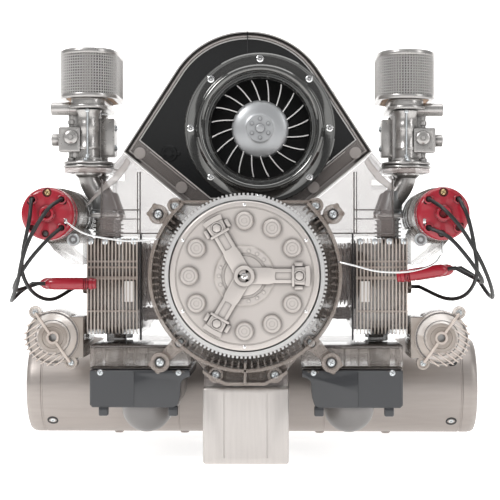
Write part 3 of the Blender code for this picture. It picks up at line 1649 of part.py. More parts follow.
def crankshaft(axis_empty):
    centre = (0, CRANK_Z)
    pins = crank_pins()
    half = PIN_HALF_LENGTH
    web_radius = JOURNAL_RADIUS + WEB_EDGE
    pin_web_radius = PIN_RADIUS + WEB_EDGE
    flange_back = FLYWHEEL_FRONT + FLYWHEEL_THICKNESS + GAP
    parts = []
    for first, second in (pins[:2], pins[2:]):
        first_place = (first[3], CRANK_Z)
        second_place = (second[3], CRANK_Z)
        start = first[2] - half
        end = second[2] + half
        middle = (first[2] + half, second[2] - half)
        parts.append(web(first_place, pin_web_radius, centre, web_radius, start - WEB_THICKNESS, start))
        parts.append(web(first_place, pin_web_radius, second_place, pin_web_radius, *middle))
        parts.append(web(centre, web_radius, second_place, pin_web_radius, end, end + WEB_THICKNESS))
        for pin in (first, second):
            ends = (station(pin[2] - half - SINK), station(pin[2] + half + SINK))
            parts.append(cylinder("Y", PIN_RADIUS, *ends, (pin[3], CRANK_Z)))
    front_end = pins[0][2] - half - WEB_THICKNESS + SINK
    middle_start = pins[1][2] + half + WEB_THICKNESS - SINK
    middle_end = pins[2][2] - half - WEB_THICKNESS + SINK
    back_start = pins[3][2] + half + WEB_THICKNESS - SINK
    spans = (
        (flange_back + SINK, front_end),
        (middle_start, middle_end),
        (back_start, PULLEY_FRONT + SINK),
    )
    mains = [cylinder("Y", JOURNAL_RADIUS, station(a), station(b), centre) for a, b in spans]
    flange = cylinder(
        "Y",
        FLANGE_RADIUS,
        station(flange_back),
        station(flange_back + FLANGE_THICKNESS),
        centre,
    )
    made = joined(mains[0], *mains[1:], *parts, flange, pulley(CRANK_PULLEY_RADIUS, centre))
    finished(made, "crankshaft", STEEL, axis_empty)


def rod_outline(side, pin_x):
    """A round big end, a narrow shank that clears the bore's edge at mid stroke, and a small end."""
    big = math.degrees(math.asin(ROD_SHANK_HALF_WIDTH / ROD_BIG_RADIUS))
    small = math.degrees(math.asin(ROD_SHANK_HALF_WIDTH / ROD_SMALL_RADIUS))
    outline = arc((0, 0), ROD_BIG_RADIUS, big, 360 - big, 7)
    outline += arc((ROD_LENGTH, 0), ROD_SMALL_RADIUS, small - 180, 180 - small, 4)
    return [(pin_x + side * out, height(up)) for out, up in outline]


def conrod(name, side, at, pin_x, axis_empty):
    pin = (pin_x, CRANK_Z)
    wrist = (pin_x + side * ROD_LENGTH, CRANK_Z)
    outline = rod_outline(side, pin_x)
    eye = circle(pin, around(PIN_RADIUS, SMALL_ROUND), SMALL_ROUND)
    low = station(at - ROD_HALF_THICKNESS)
    body = plate([outline, eye], "Y", low, low + 2 * ROD_HALF_THICKNESS)
    ends = (station(at - ROD_PIN_HALF), station(at + ROD_PIN_HALF))
    wrist_pin = cylinder("Y", ROD_PIN_RADIUS, *ends, wrist, sides=TINY_ROUND)
    finished(joined(body, wrist_pin), f"conrod_{name}", STEEL, axis_empty)


def piston(name, side, at, wrist_x, axis_empty):
    """A hollow piston: its domed crown leaves the rod's small end room over a full stroke."""
    dome = wrist_x + side * THROW
    skirt = wrist_x - side * PISTON_SKIRT
    inner = PISTON_RADIUS - PISTON_WALL
    profile = []
    for radius, steps in ((PISTON_RADIUS, range(DOME_STEPS, -1, -1)), (inner, range(DOME_STEPS + 1))):
        for step in steps:
            angle = math.radians(90 * step / DOME_STEPS)
            across = radius * math.cos(angle) if step < DOME_STEPS else 0
            profile.append((across, dome + side * radius * math.sin(angle)))
        if radius == PISTON_RADIUS:
            profile += [(PISTON_RADIUS, skirt), (inner, skirt)]
    body = turned("X", (station(at), CRANK_Z), profile, SMALL_ROUND)
    bosses = []
    for way in (-1, 1):
        near = at + way * (ROD_PIN_HALF + RUN)
        far = at + way * (PISTON_RADIUS * math.cos(math.pi / SMALL_ROUND) - PISTON_WALL / 2)
        span = sorted((station(near), station(far)))
        bosses.append(cylinder("Y", PISTON_BOSS_RADIUS, *span, (wrist_x, CRANK_Z), sides=TINY_ROUND))
    finished(joined(body, *bosses), f"piston_{name}", SILVER, axis_empty)


def camshaft(name, side, cam, axis_empty, lobe_turn):
    centre = cam_centre(side, cam)
    shaft = cylinder("Y", CAM_SHAFT_RADIUS, station(CAM_FRONT), station(CAM_BACK), centre, sides=TINY_ROUND)
    parts = []
    for end, way in ((CAM_FRONT, 1), (CAM_BACK, -1)):
        span = sorted((station(end), station(end + way * CAM_JOURNAL_LENGTH)))
        parts.append(cylinder("Y", CAM_JOURNAL_RADIUS, *span, centre))
    for number, bore in enumerate(bore_stations(side)):
        angle = math.radians(lobe_turn + 180 * number)
        tip = (centre[0] + CAM_LOBE_LIFT * math.cos(angle), centre[1] + CAM_LOBE_LIFT * math.sin(angle))
        outline = linked_circles(centre, CAM_LOBE_BASE, tip, CAM_LOBE_TIP, 3)
        low = station(bore - CAM_LOBE_LENGTH / 2)
        parts.append(plate([outline], "Y", low, low + CAM_LOBE_LENGTH))
    finished(joined(shaft, *parts), f"camshaft_{name}", STEEL, axis_empty)


def smooth_route(points, count):
    """Evenly spaced points on the smooth curve through the given ones."""
    knots = [Vector(p) for p in points]
    knots = [2 * knots[0] - knots[1]] + knots + [2 * knots[-1] - knots[-2]]
    fine = []
    for i in range(1, len(knots) - 2):
        before, start, end, after = knots[i - 1 : i + 3]
        for step in range(16):
            t = step / 16
            curve = 2 * start + (end - before) * t + (2 * before - 5 * start + 4 * end - after) * t**2
            fine.append((curve + (3 * start - before - 3 * end + after) * t**3) / 2)
    fine.append(knots[-2])
    lengths = [0]
    for here, following in zip(fine, fine[1:]):
        lengths.append(lengths[-1] + (following - here).length)
    placed = []
    at = 0
    for number in range(count):
        wanted = lengths[-1] * number / (count - 1)
        while at < len(fine) - 2 and lengths[at + 1] < wanted:
            at += 1
        share = (wanted - lengths[at]) / (lengths[at + 1] - lengths[at])
        placed.append(fine[at].lerp(fine[at + 1], share))
    return placed


def socket_exit(side, across, up):
    """Where a lead leaves a socket of a distributor cap, and a point straight in front of it."""
    centre = cam_centre(side, INTAKE_CAM)
    place = (centre[0] + across * CAP_SOCKET[0], centre[1] + up * CAP_SOCKET[1])
    start = Vector((place[0], station(CAP_FRONT) + CAP_SOCKET_DEPTH - GAP, place[1]))
    return [start, start - Vector((0, CAP_SOCKET_DEPTH + 2 * LEAD_RADIUS, 0))]


def connector_entry(side, inner, at):
    """A point straight behind a plug connector, and where the lead meets its outer end."""
    start, heading = connector_line(side, inner, at)
    end = start + heading * (CONNECTOR_LENGTH + GAP)
    return [end + heading * 4 * LEAD_RADIUS, end]


def well_entry(side):
    """A point straight out from the head's outer plug well, and where the lead meets it."""
    front = bore_stations(side)[0]
    end = Vector((side * (HEAD_OUTER + WELL_REACH + GAP), station(front), height(WELL_UP)))
    return [end + Vector((side * 4 * LEAD_RADIUS, 0, 0)), end]


# Each lead's free stretch between its socket and its plug, in world metres
LEAD_ROUTES = {
    "left_well": [
        (-0.1187, -0.0600, 0.1375),
        (-0.1225, -0.0570, 0.1210),
        (-0.1240, -0.0490, 0.1085),
        (-0.1200, -0.0350, 0.0975),
        (-0.1125, -0.0150, 0.0935),
    ],
    "left_rear": [
        (-0.1075, -0.0665, 0.1440),
        (-0.1160, -0.0690, 0.1300),
        (-0.1210, -0.0680, 0.1170),
        (-0.1250, -0.0600, 0.1040),
        (-0.1305, -0.0450, 0.0950),
        (-0.1335, -0.0290, 0.0935),
        (-0.1300, -0.0170, 0.0985),
    ],
    "left_front": [
        (-0.1080, -0.0610, 0.1280),
        (-0.1180, -0.0620, 0.1165),
        (-0.1265, -0.0540, 0.1050),
        (-0.1300, -0.0410, 0.0995),
        (-0.1275, -0.0290, 0.1000),
    ],
    "right_well": [
        (0.1225, -0.0600, 0.1400),
        (0.1265, -0.0570, 0.1230),
        (0.1285, -0.0490, 0.1080),
        (0.1245, -0.0330, 0.0970),
        (0.1155, -0.0130, 0.0940),
    ],
    "right_rear": [
        (0.1090, -0.0665, 0.1440),
        (0.1185, -0.0690, 0.1330),
        (0.1275, -0.0680, 0.1180),
        (0.1340, -0.0610, 0.1050),
        (0.1380, -0.0450, 0.0960),
        (0.1370, -0.0300, 0.0975),
        (0.1320, -0.0190, 0.1060),
    ],
    "right_front": [
        (0.1120, -0.0610, 0.1290),
        (0.1220, -0.0620, 0.1180),
        (0.1300, -0.0540, 0.1075),
        (0.1325, -0.0410, 0.1040),
        (0.1290, -0.0290, 0.1065),
    ],
}
WIRE_ROUTES = {
    "left": [
        (-0.0995, -0.0523, 0.1380),
        (-0.0995, -0.0570, 0.1380),
        (-0.0873, -0.0600, 0.1308),
        (-0.0680, -0.0560, 0.1272),
        (-0.0560, -0.0530, 0.1272),
        (-0.0484, -0.0500, 0.1280),
        (-0.0484, -0.0443, 0.1280),
    ],
    "right": [
        (0.0518, -0.0443, 0.1154),
        (0.0518, -0.0500, 0.1154),
        (0.0600, -0.0530, 0.1135),
        (0.0745, -0.0520, 0.1100),
        (0.0910, -0.0500, 0.1100),
        (0.1045, -0.0460, 0.1140),
        (0.1100, -0.0440, 0.1205),
        (0.1100, -0.0440, 0.1269),
    ],
}


def ignition_lead(name, start, middle, end):
    curved = smooth_route([start[1]] + middle + [end[0]], LEAD_POINTS - 2)
    route = [start[0]] + curved + [end[1]]
    finished(tube(route, LEAD_RADIUS), f"ignition_lead_{name}", RUBBER)


def leads():
    for name, side in SIDES.items():
        ignition_lead(
            f"{name}_well",
            socket_exit(side, side, 1),
            LEAD_ROUTES[f"{name}_well"],
            well_entry(side),
        )
        ignition_lead(
            f"{name}_rear",
            socket_exit(side, -side, 1),
            LEAD_ROUTES[f"{name}_rear"],
            connector_entry(side, REAR_CONNECTOR_INNER, REAR_CONNECTOR_STATION),
        )
        ignition_lead(
            f"{name}_front",
            socket_exit(side, -side, -1),
            LEAD_ROUTES[f"{name}_front"],
            connector_entry(side, FRONT_CONNECTOR_INNER, FRONT_CONNECTOR_STATION),
        )
        points = WIRE_ROUTES[name]
        route = points[:1] + smooth_route(points[1:-1], WIRE_POINTS - 2) + points[-1:]
        finished(tube(route, WIRE_RADIUS, WIRE_RESOLUTION), f"signal_wire_{name}", BRIGHT)


def casings():
    stand()
    bell_housing()
    fan_housing("front", 1)
    fan_housing("rear", -1)
    fan_inlet_ring()
    generator()
    v_belt()
    silencer()
    for name, side in SIDES.items():
        crankcase(name, side)
        cylinder_pair(name, side)
        cylinder_head(name, side)
        intake_cam_housing(name, side)
        exhaust_cam_cover(name, side)
        distributor_cap(name, side)
        air_duct(name, side)
        intake_manifold(name, side)
        carburettor(name, side)
        air_filter(name, side)
        heater_box(name, side)
        heater_cover(name, side)
        plug_connector(f"{name}_front", side, FRONT_CONNECTOR_INNER, FRONT_CONNECTOR_STATION)
        plug_connector(f"{name}_rear", side, REAR_CONNECTOR_INNER, REAR_CONNECTOR_STATION)
    leads()


def moving_pieces():
    crank_axis = axis_point("crank_axis", (0, MIDDLE_Y, CRANK_Z))
    fan_axis = axis_point("fan_axis", (FAN_RIGHT, MIDDLE_Y, height(FAN_UP)))
    flywheel(crank_axis)
    clutch_cover(crank_axis)
    crankshaft(crank_axis)
    fan(fan_axis)
    for name, side, at, pin_x in crank_pins():
        pin_axis = axis_point(f"crankpin_axis_{name}", (pin_x, station(at), CRANK_Z), crank_axis)
        conrod(name, side, at, pin_x, pin_axis)
        wrist_x = pin_x + side * ROD_LENGTH
        bore_axis = axis_point(f"bore_axis_{name}", (wrist_x, station(at), CRANK_Z))
        piston(name, side, at, wrist_x, bore_axis)
    lobe_turn = 0
    for name, side in SIDES.items():
        for kind, cam in (("intake", INTAKE_CAM), ("exhaust", EXHAUST_CAM)):
            out, up = cam_centre(side, cam)
            cam_axis = axis_point(f"cam_axis_{kind}_{name}", (out, MIDDLE_Y, up))
            camshaft(f"{kind}_{name}", side, cam, cam_axis, lobe_turn)
            lobe_turn += 90


casings()
moving_pieces()
bpy.context.view_layer.update()
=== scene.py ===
# %% [markdown]
# # A clear-cased display model of a flat four engine
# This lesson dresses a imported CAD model. The CAD solids keep their places and joints. Each cell adds one
# real piece of the engine, modelled as it would be by hand, or gives a solid its finish.

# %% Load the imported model
import json
import math

import bmesh
import bpy
from mathutils import Matrix, Vector

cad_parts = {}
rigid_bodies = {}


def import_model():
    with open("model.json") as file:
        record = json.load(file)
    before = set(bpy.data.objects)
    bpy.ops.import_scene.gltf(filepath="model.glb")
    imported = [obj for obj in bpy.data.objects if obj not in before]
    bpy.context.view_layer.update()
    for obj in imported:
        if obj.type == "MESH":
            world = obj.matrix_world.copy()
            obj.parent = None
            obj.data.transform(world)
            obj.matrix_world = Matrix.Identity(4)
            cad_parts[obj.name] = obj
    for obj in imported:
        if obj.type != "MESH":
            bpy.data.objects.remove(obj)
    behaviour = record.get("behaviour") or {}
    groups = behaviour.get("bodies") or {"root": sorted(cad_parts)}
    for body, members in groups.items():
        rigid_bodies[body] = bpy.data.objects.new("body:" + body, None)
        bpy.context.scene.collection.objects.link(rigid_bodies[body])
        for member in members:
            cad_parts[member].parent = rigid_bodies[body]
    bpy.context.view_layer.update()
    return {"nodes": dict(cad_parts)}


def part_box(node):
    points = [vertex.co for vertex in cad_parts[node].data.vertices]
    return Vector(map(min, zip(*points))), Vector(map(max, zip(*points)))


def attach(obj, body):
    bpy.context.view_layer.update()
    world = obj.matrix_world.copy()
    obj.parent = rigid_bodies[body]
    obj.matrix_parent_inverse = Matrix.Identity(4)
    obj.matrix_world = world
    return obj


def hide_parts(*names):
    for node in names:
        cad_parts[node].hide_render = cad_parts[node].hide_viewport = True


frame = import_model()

FULL_TURN = 2 * math.pi
SIDES = {"left": -1, "right": 1}
MIDDLE_Y = 0.036
CRANK_Z = 0.1077
FAN_X = 0.0075
FAN_Z = 0.194
BANK_OFFSET = 0.012
BORE_PITCH = 0.038


def station(along):
    """World Y of a place counted from the middle plane of the cylinders."""
    return MIDDLE_Y + along


def height(up):
    """World Z of a height counted from the crank."""
    return CRANK_Z + up


def bore_station(side, way=0):
    """World Y of the front bore of one side, or of a place some way behind it."""
    return station((side * BANK_OFFSET - BORE_PITCH) / 2 + way)


# %% [markdown]
# ## Camera, backdrop and light
# The photograph was taken square on to the flywheel with a long lens, so the camera stands about 0.9 m away.
# A pale sweep runs from the floor up behind the model, so that no horizon shows. Large soft lamps give
# the clear plastic its long white highlights, and a darker world between them gives it its dark edges.

# %% Camera
eye = bpy.data.cameras.new("camera")
eye.lens = 112
eye.sensor_width = 36
eye.clip_start = 0.01
camera = bpy.data.objects.new("camera", eye)
camera.location = (0.0245, -0.914, 0.122)
camera.rotation_euler = (math.radians(90), 0, math.radians(1.43))
bpy.context.scene.collection.objects.link(camera)
bpy.context.scene.camera = camera
bpy.context.scene.view_settings.view_transform = "Standard"
bpy.context.scene.cycles.transparent_max_bounces = 40


# %% Lamps
def lamp(name, place, target, size, power, colour=(1, 1, 1)):
    data = bpy.data.lights.new(name, "AREA")
    data.shape = "RECTANGLE"
    data.size, data.size_y = size
    data.energy = power
    data.color = colour
    made = bpy.data.objects.new(name, data)
    made.location = place
    made.rotation_euler = (Vector(target) - Vector(place)).to_track_quat("-Z", "Y").to_euler()
    bpy.context.scene.collection.objects.link(made)


lamp("key_softbox", (-0.75, -0.75, 0.95), (0, 0, 0.12), (0.4, 0.4), 7.5)
lamp("fill_softbox", (0.95, -0.6, 0.6), (0, 0, 0.12), (0.3, 0.7), 2.2)
lamp("top_softbox", (0, 0.0, 1.0), (0, 0.05, 0.1), (0.9, 0.7), 4.0)
lamp("front_strip", (0.1, -1.3, 0.35), (0, 0, 0.12), (1.4, 0.18), 0.9)

world = bpy.data.worlds.new("studio")
bpy.context.scene.world = world
world.use_nodes = True
sky = world.node_tree
around_us = sky.nodes.new("ShaderNodeTexCoord")
upward = sky.nodes.new("ShaderNodeSeparateXYZ")
bands = sky.nodes.new("ShaderNodeValToRGB")
bands.color_ramp.elements[0].position = 0.35
bands.color_ramp.elements[0].color = (0.1, 0.1, 0.105, 1)
bands.color_ramp.elements[1].position = 0.95
bands.color_ramp.elements[1].color = (0.85, 0.85, 0.86, 1)
lift = sky.nodes.new("ShaderNodeMapRange")
lift.inputs["From Min"].default_value = -1
sky.links.new(around_us.outputs["Generated"], upward.inputs["Vector"])
sky.links.new(upward.outputs["Z"], lift.inputs["Value"])
sky.links.new(lift.outputs["Result"], bands.inputs["Fac"])
sky.links.new(bands.outputs["Color"], sky.nodes["Background"].inputs["Color"])
sky.nodes["Background"].inputs["Strength"].default_value = 0.55


# %% [markdown]
# ## Drawing tools
# Every piece starts from a primitive or from one vertex that is extruded along an outline, as with the E key.
# A turned piece is an outline that is spun round its axis. A plate is an outline that is filled and extruded.
# Each helper leaves the piece in object mode, with its place in its mesh. Profiles and outlines are written
# in millimetres with mm(). Everything else is in metres.

# %% Helpers for edit mode
def alone():
    if bpy.context.object and bpy.context.object.mode != "OBJECT":
        bpy.ops.object.mode_set(mode="OBJECT")
    bpy.ops.object.select_all(action="DESELECT")


def chosen(obj):
    alone()
    bpy.context.view_layer.objects.active = obj
    obj.select_set(True)
    return obj


def settled():
    """Applies the active object's place, turn and size to its mesh."""
    bpy.ops.object.transform_apply(location=True, rotation=True, scale=True)
    return bpy.context.object


def editing(obj):
    chosen(obj)
    bpy.ops.object.mode_set(mode="EDIT")


def done():
    bpy.ops.object.mode_set(mode="OBJECT")
    return bpy.context.object


def pick_faces(test):
    """In edit mode, selects the faces whose centre and normal pass the test."""
    bpy.ops.mesh.select_mode(type="FACE")
    mesh = bmesh.from_edit_mesh(bpy.context.object.data)
    for face in mesh.faces:
        face.select_set(bool(test(face.calc_center_median(), face.normal)))
    mesh.select_flush_mode()
    bmesh.update_edit_mesh(bpy.context.object.data)


def pick_edges(test):
    bpy.ops.mesh.select_mode(type="EDGE")
    mesh = bmesh.from_edit_mesh(bpy.context.object.data)
    for edge in mesh.edges:
        edge.select_set(bool(test(edge.verts[0].co, edge.verts[1].co)))
    bmesh.update_edit_mesh(bpy.context.object.data)


def closed_up():
    """Merges doubles and turns all faces outwards."""
    bpy.ops.mesh.select_all(action="SELECT")
    bpy.ops.mesh.remove_doubles(threshold=0.00001)
    bpy.ops.mesh.normals_make_consistent(inside=False)


# %% Helpers that start a piece
AXIS_TURN = {"X": (0, math.pi / 2, 0), "Y": (-math.pi / 2, 0, 0), "Z": (0, 0, 0)}


def point(axis, along, first, second):
    places = {"X": (along, first, second), "Y": (first, along, second), "Z": (first, second, along)}
    return Vector(places[axis])


def cylinder(axis, radius, low, high, centre, sides=32):
    alone()
    bpy.ops.mesh.primitive_cylinder_add(vertices=sides, radius=radius, depth=high - low,
        location=point(axis, (low + high) / 2, *centre), rotation=AXIS_TURN[axis])
    return settled()


def block(low, high):
    alone()
    low, high = Vector(low), Vector(high)
    bpy.ops.mesh.primitive_cube_add(size=1, location=(low + high) / 2, scale=high - low)
    return settled()


def drawn(points, closed):
    """One vertex, extruded from point to point. It is left in edit mode."""
    alone()
    bpy.ops.mesh.primitive_plane_add(size=0.001, location=points[0])
    settled()
    bpy.ops.object.mode_set(mode="EDIT")
    bpy.ops.mesh.select_mode(type="VERT")
    bpy.ops.mesh.merge(type="CENTER")
    for here, following in zip(points, points[1:]):
        step = Vector(following) - Vector(here)
        bpy.ops.mesh.extrude_vertices_move(TRANSFORM_OT_translate={"value": step})
    bpy.ops.mesh.select_all(action="SELECT")
    if closed:
        bpy.ops.mesh.edge_face_add()


def plate(outline, low, high, axis="Y"):
    """A flat outline, filled and extruded from low to high along an axis."""
    drawn([point(axis, low, u, v) for u, v in outline], closed=True)
    bpy.ops.mesh.extrude_region_move(TRANSFORM_OT_translate={"value": point(axis, high - low, 0, 0)})
    closed_up()
    return done()


def turned(axis, centre, profile, steps=48):
    """An outline of (radius, place) pairs spun round an axis."""
    drawn([point(axis, along, centre[0] + radius, centre[1]) for radius, along in profile], closed=False)
    ends = profile[0][0] and profile[-1][0]
    if ends:
        bpy.ops.mesh.select_all(action="SELECT")
        mesh = bmesh.from_edit_mesh(bpy.context.object.data)
        lone = [v for v in mesh.verts if len(v.link_edges) == 1]
        for vert in mesh.verts:
            vert.select_set(vert in lone)
        bmesh.update_edit_mesh(bpy.context.object.data)
        bpy.ops.mesh.edge_face_add()
        bpy.ops.mesh.select_all(action="SELECT")
    bpy.ops.mesh.spin(steps=steps, angle=FULL_TURN, center=point(axis, 0, *centre), axis=point(axis, 1, 0, 0))
    closed_up()
    return done()


def hoop(axis, centre, inner, outer, low, high, steps):
    """A ring with a square section."""
    return turned(axis, centre, [(inner, low), (outer, low), (outer, high), (inner, high)], steps)


def on_circle(centre, radius, degrees):
    """Places on a circle, one for each angle in degrees."""
    return [(centre[0] + radius * math.cos(a), centre[1] + radius * math.sin(a))
        for a in map(math.radians, degrees)]


def arc(centre, radius, start, end, steps):
    return on_circle(centre, radius, [start + (end - start) * i / steps for i in range(steps + 1)])


def mm(*points, start=0, way=1):
    """Points written in millimetres. Their last number is counted one way from a start."""
    return [(*(number / 1000 for number in others), start + way * last / 1000) for *others, last in points]


def slot(centre, half_width, half_length, steps=14):
    """A slot with round ends that runs along Y, as (X, Y) pairs."""
    reach = half_length - half_width
    far = arc((centre[0], centre[1] + reach), half_width, 0, 180, steps)
    near = arc((centre[0], centre[1] - reach), half_width, 180, 360, steps)
    return far + near


def round_line(name, points, radius, resolution):
    """A curve with a round section along a smooth line."""
    curve = bpy.data.curves.new(name, "CURVE")
    curve.dimensions = "3D"
    curve.bevel_depth = radius
    curve.bevel_resolution = resolution
    curve.use_fill_caps = True
    spline = curve.splines.new("POLY")
    spline.points.add(len(points) - 1)
    for place, where in zip(spline.points, points):
        place.co = (*where, 1)
    made = bpy.data.objects.new(name, curve)
    bpy.context.scene.collection.objects.link(made)
    return made


def tube(points, radius, sides=16):
    """A round bar, converted from a curve."""
    chosen(round_line("line", points, radius, sides // 4))
    bpy.ops.object.convert(target="MESH")
    editing(bpy.context.object)
    closed_up()
    return done()


# %% Helpers that shape and copy
def modified(obj, kind, **settings):
    chosen(obj)
    step = obj.modifiers.new("step", kind)
    for name, value in settings.items():
        setattr(step, name, value)
    bpy.ops.object.modifier_apply(modifier=step.name)
    return obj


def eased(obj, width, segments=2, angle=30):
    """Rounds every edge that is sharper than the angle."""
    return modified(obj, "BEVEL", width=width, segments=segments, limit_method="ANGLE",
        angle_limit=math.radians(angle))


def cut(obj, *tools):
    for tool in tools:
        modified(obj, "BOOLEAN", operation="DIFFERENCE", solver="EXACT", object=tool)
        bpy.data.objects.remove(tool)
    return obj


def joined(*parts):
    alone()
    for part in parts:
        part.select_set(True)
    bpy.context.view_layer.objects.active = parts[0]
    if len(parts) > 1:
        bpy.ops.object.join()
    return bpy.context.object


def moved(obj, shift):
    obj.data.transform(Matrix.Translation(Vector(shift)))
    return obj


def spun(obj, turn, about, axis="Y"):
    """Turns a piece about a point."""
    middle = Matrix.Translation(Vector(about))
    obj.data.transform(middle @ Matrix.Rotation(turn, 4, axis) @ middle.inverted())
    return obj


def copied(obj):
    """A copy with its own mesh."""
    chosen(obj)
    bpy.ops.object.duplicate(linked=False)
    return bpy.context.object


def finished(obj, name, finish, body="engine", stands_for=()):
    """Names a piece or a joined list of pieces, gives it its finish and lets it ride on its body."""
    if isinstance(obj, list):
        obj = joined(*obj)
    chosen(obj)
    obj.name = name
    obj.data.name = name
    obj.data.materials.clear()
    obj.data.materials.append(finish.material)
    if obj.type == "MESH":
        bpy.ops.object.shade_smooth_by_angle(angle=math.radians(35))
    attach(obj, body)
    if stands_for:
        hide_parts(*stands_for)
    return obj


def replacing(obj, node, part, finish, body="engine"):
    """A finished piece, named after the CAD solid that it replaces."""
    return finished(obj, f"{node}_{part}", finish, body, [node])


# %% [markdown]
# ## Finishes
# Shader maths reads better as sums, so one small class wraps a socket and adds Math nodes when it is used in
# an expression. All patterns read Object coordinates, so they stay on their piece in every view.

# %% Shader helpers
class Value:
    """A shader socket that can be used in sums."""

    def __init__(self, finish, socket):
        self.finish = finish
        self.socket = socket

    def sum(self, operation, first, second):
        return self.finish.add("ShaderNodeMath", {"operation": operation}, {0: first, 1: second})

    def __add__(self, other):
        return self.sum("ADD", self, other)

    __radd__ = __add__

    def __sub__(self, other):
        return self.sum("SUBTRACT", self, other)

    def __rsub__(self, other):
        return self.sum("SUBTRACT", other, self)

    def __mul__(self, other):
        return self.sum("MULTIPLY", self, other)

    __rmul__ = __mul__

    def __pow__(self, other):
        return self.sum("POWER", self, other)

    def __gt__(self, other):
        return self.sum("GREATER_THAN", self, other)


class Finish:
    """A material under construction, with the record's slot that it belongs to."""

    def __init__(self, name, slot_name, colour, roughness, metallic=0.0, coat=0.0, ior=1.5):
        self.slot = slot_name
        self.material = bpy.data.materials.new(name)
        self.material.use_nodes = True
        self.tree = self.material.node_tree
        self.shader = self.tree.nodes["Principled BSDF"]
        self.drive("Base Color", (*colour, 1))
        self.drive("Roughness", roughness)
        self.drive("Metallic", metallic)
        self.drive("Coat Weight", coat)
        self.drive("Coat Roughness", 0.05)
        self.drive("IOR", ior)
        self.place = self.add("ShaderNodeTexCoord", output="Object")

    def add(self, kind, settings=None, sockets=None, output=0):
        node = self.tree.nodes.new(kind)
        for name, value in (settings or {}).items():
            setattr(node, name, value)
        for name, value in (sockets or {}).items():
            self.join(value, node.inputs[name])
        return Value(self, node.outputs[output])

    def join(self, value, socket):
        if isinstance(value, Value):
            self.tree.links.new(value.socket, socket)
        else:
            socket.default_value = value

    def drive(self, name, value):
        self.join(value, self.shader.inputs[name])

    def stretched(self, x, y, z):
        return self.add("ShaderNodeMapping", {}, {"Vector": self.place, "Scale": (x, y, z)})

    def noise(self, scale, detail=3, where=None):
        return self.add("ShaderNodeTexNoise", {}, {"Vector": where or self.place, "Scale": scale,
            "Detail": detail})

    def blend(self, share, first, second):
        first, second = [c if isinstance(c, Value) else (*c, 1) for c in (first, second)]
        return self.add("ShaderNodeMix", {"data_type": "RGBA"}, {0: share, 6: first, 7: second}, output=2)

    def depth(self):
        """Object Y, which grows from the front of the model to its back."""
        return self.add("ShaderNodeSeparateXYZ", {}, {0: self.place}, output="Y")

    def facing(self, blend=0.5):
        return self.add("ShaderNodeLayerWeight", {}, {"Blend": blend}, output="Facing")

    def corner_shade(self, reach):
        """Ambient occlusion of the piece itself, 1 in the open and 0 deep in its corners, used to paint shade
        there.
        """
        return self.add("ShaderNodeAmbientOcclusion", {"samples": 8, "only_local": True}, {"Distance": reach},
            output="AO")

    def bump(self, rise, strength, distance=0.0002):
        made = self.add("ShaderNodeBump", {}, {"Height": rise, "Strength": strength, "Distance": distance})
        self.drive("Normal", made)


# %% [markdown]
# ### Clear plastic
# The casings are moulded in clear, slightly grey-brown plastic. A real refracting glass shader would need
# many bounces through sixty thin walls, so the wall is made partly see-through instead: it is clearest where
# it faces the eye and closes up towards its edges, which is how a thin moulded wall looks.

# %% Clear finishes
def clear_finish(name, tint, edge_tint, front, edge, roughness=0.07, corner=0.5, reach=0.0015):
    made = Finish(name, "clear_plastic", tint, roughness, coat=0.6, ior=1.58)
    away = made.facing(0.45)
    flow = made.noise(90, 2)
    cloud = made.noise(35, 3)
    # Painted shade: in the piece's own corners and creases the wall turns darker and less clear.
    shade = (1 - made.corner_shade(reach)) ** 1.4
    made.drive("Base Color", made.blend(away ** 1.2 + 0.7 * shade, tint, edge_tint))
    made.drive("Alpha", front + (edge - front) * away ** 1.6 + corner * shade + 0.08 * (cloud - 0.5))
    made.drive("Roughness", roughness + 0.07 * flow)
    made.bump(made.noise(70, 1), 0.08, 0.0001)
    return made


CASING = clear_finish("clear_casing", (0.44, 0.385, 0.345), (0.07, 0.06, 0.053), 0.21, 0.88, 0.04, 0.75)
# Painted light and shade: the fins get a pale tint as if lit, and the core between them a dark tint as shade,
# though both are the same clear plastic.
FINNED = clear_finish("clear_fins", (0.79, 0.685, 0.61), (0.26, 0.21, 0.175), 0.62, 0.5, 0.04, 0.05)
RIBBED = clear_finish("clear_ribs", (0.26, 0.22, 0.195), (0.09, 0.075, 0.065), 0.5, 0.9, 0.05, 0.2)
SHADED_CORE = clear_finish("clear_core_shaded", (0.23, 0.18, 0.148), (0.07, 0.06, 0.05), 0.66, 0.9, 0.08, 0.2)
SHEET = clear_finish("clear_sheet", (0.42, 0.365, 0.35), (0.06, 0.05, 0.045), 0.2, 0.95, 0.05, 0.15)
# The cover's longer shade reach paints dark shade between its fins.
COVER = clear_finish("clear_cover", (0.84, 0.74, 0.655), (0.06, 0.045, 0.036), 0.42, 0.97, 0.05, 0.8, 0.004)
BELL = clear_finish("clear_bell", (0.38, 0.32, 0.28), (0.06, 0.05, 0.043), 0.52, 0.92, 0.04, 0.6)
EDGE_CLEAR = clear_finish("clear_edge_beads", (0.16, 0.14, 0.13), (0.03, 0.025, 0.025), 0.7, 0.98)
RIM = clear_finish("clear_rim", (0.5, 0.455, 0.43), (0.06, 0.05, 0.05), 0.5, 0.97)


# %% [markdown]
# ### Metal-look, dark and coloured finishes
# The silver pieces are plastic with a satin metal paint: fine flakes in the roughness, a soft cloud in the
# colour and a trace of moulding texture in the bump.

# %% Opaque finishes
def satin_finish(name, slot_name, colour, roughness, metallic, grain=900, depth=0.12, coat=0.0):
    made = Finish(name, slot_name, colour, roughness, metallic, coat)
    cloud = made.noise(28, 3)
    flake = made.noise(grain, 2)
    dark = tuple(c * 0.93 for c in colour)
    open_colour = made.blend(cloud, dark, colour)
    # Painted shade: the colour darkens to a sixth of itself deep in the piece's own corners and creases.
    deep = tuple(c * 0.16 for c in colour)
    made.drive("Base Color", made.blend(made.corner_shade(0.0022) ** 1.7, deep, open_colour))
    made.drive("Roughness", roughness - 0.03 + 0.07 * flake)
    made.bump(flake, depth, 0.00005)
    return made


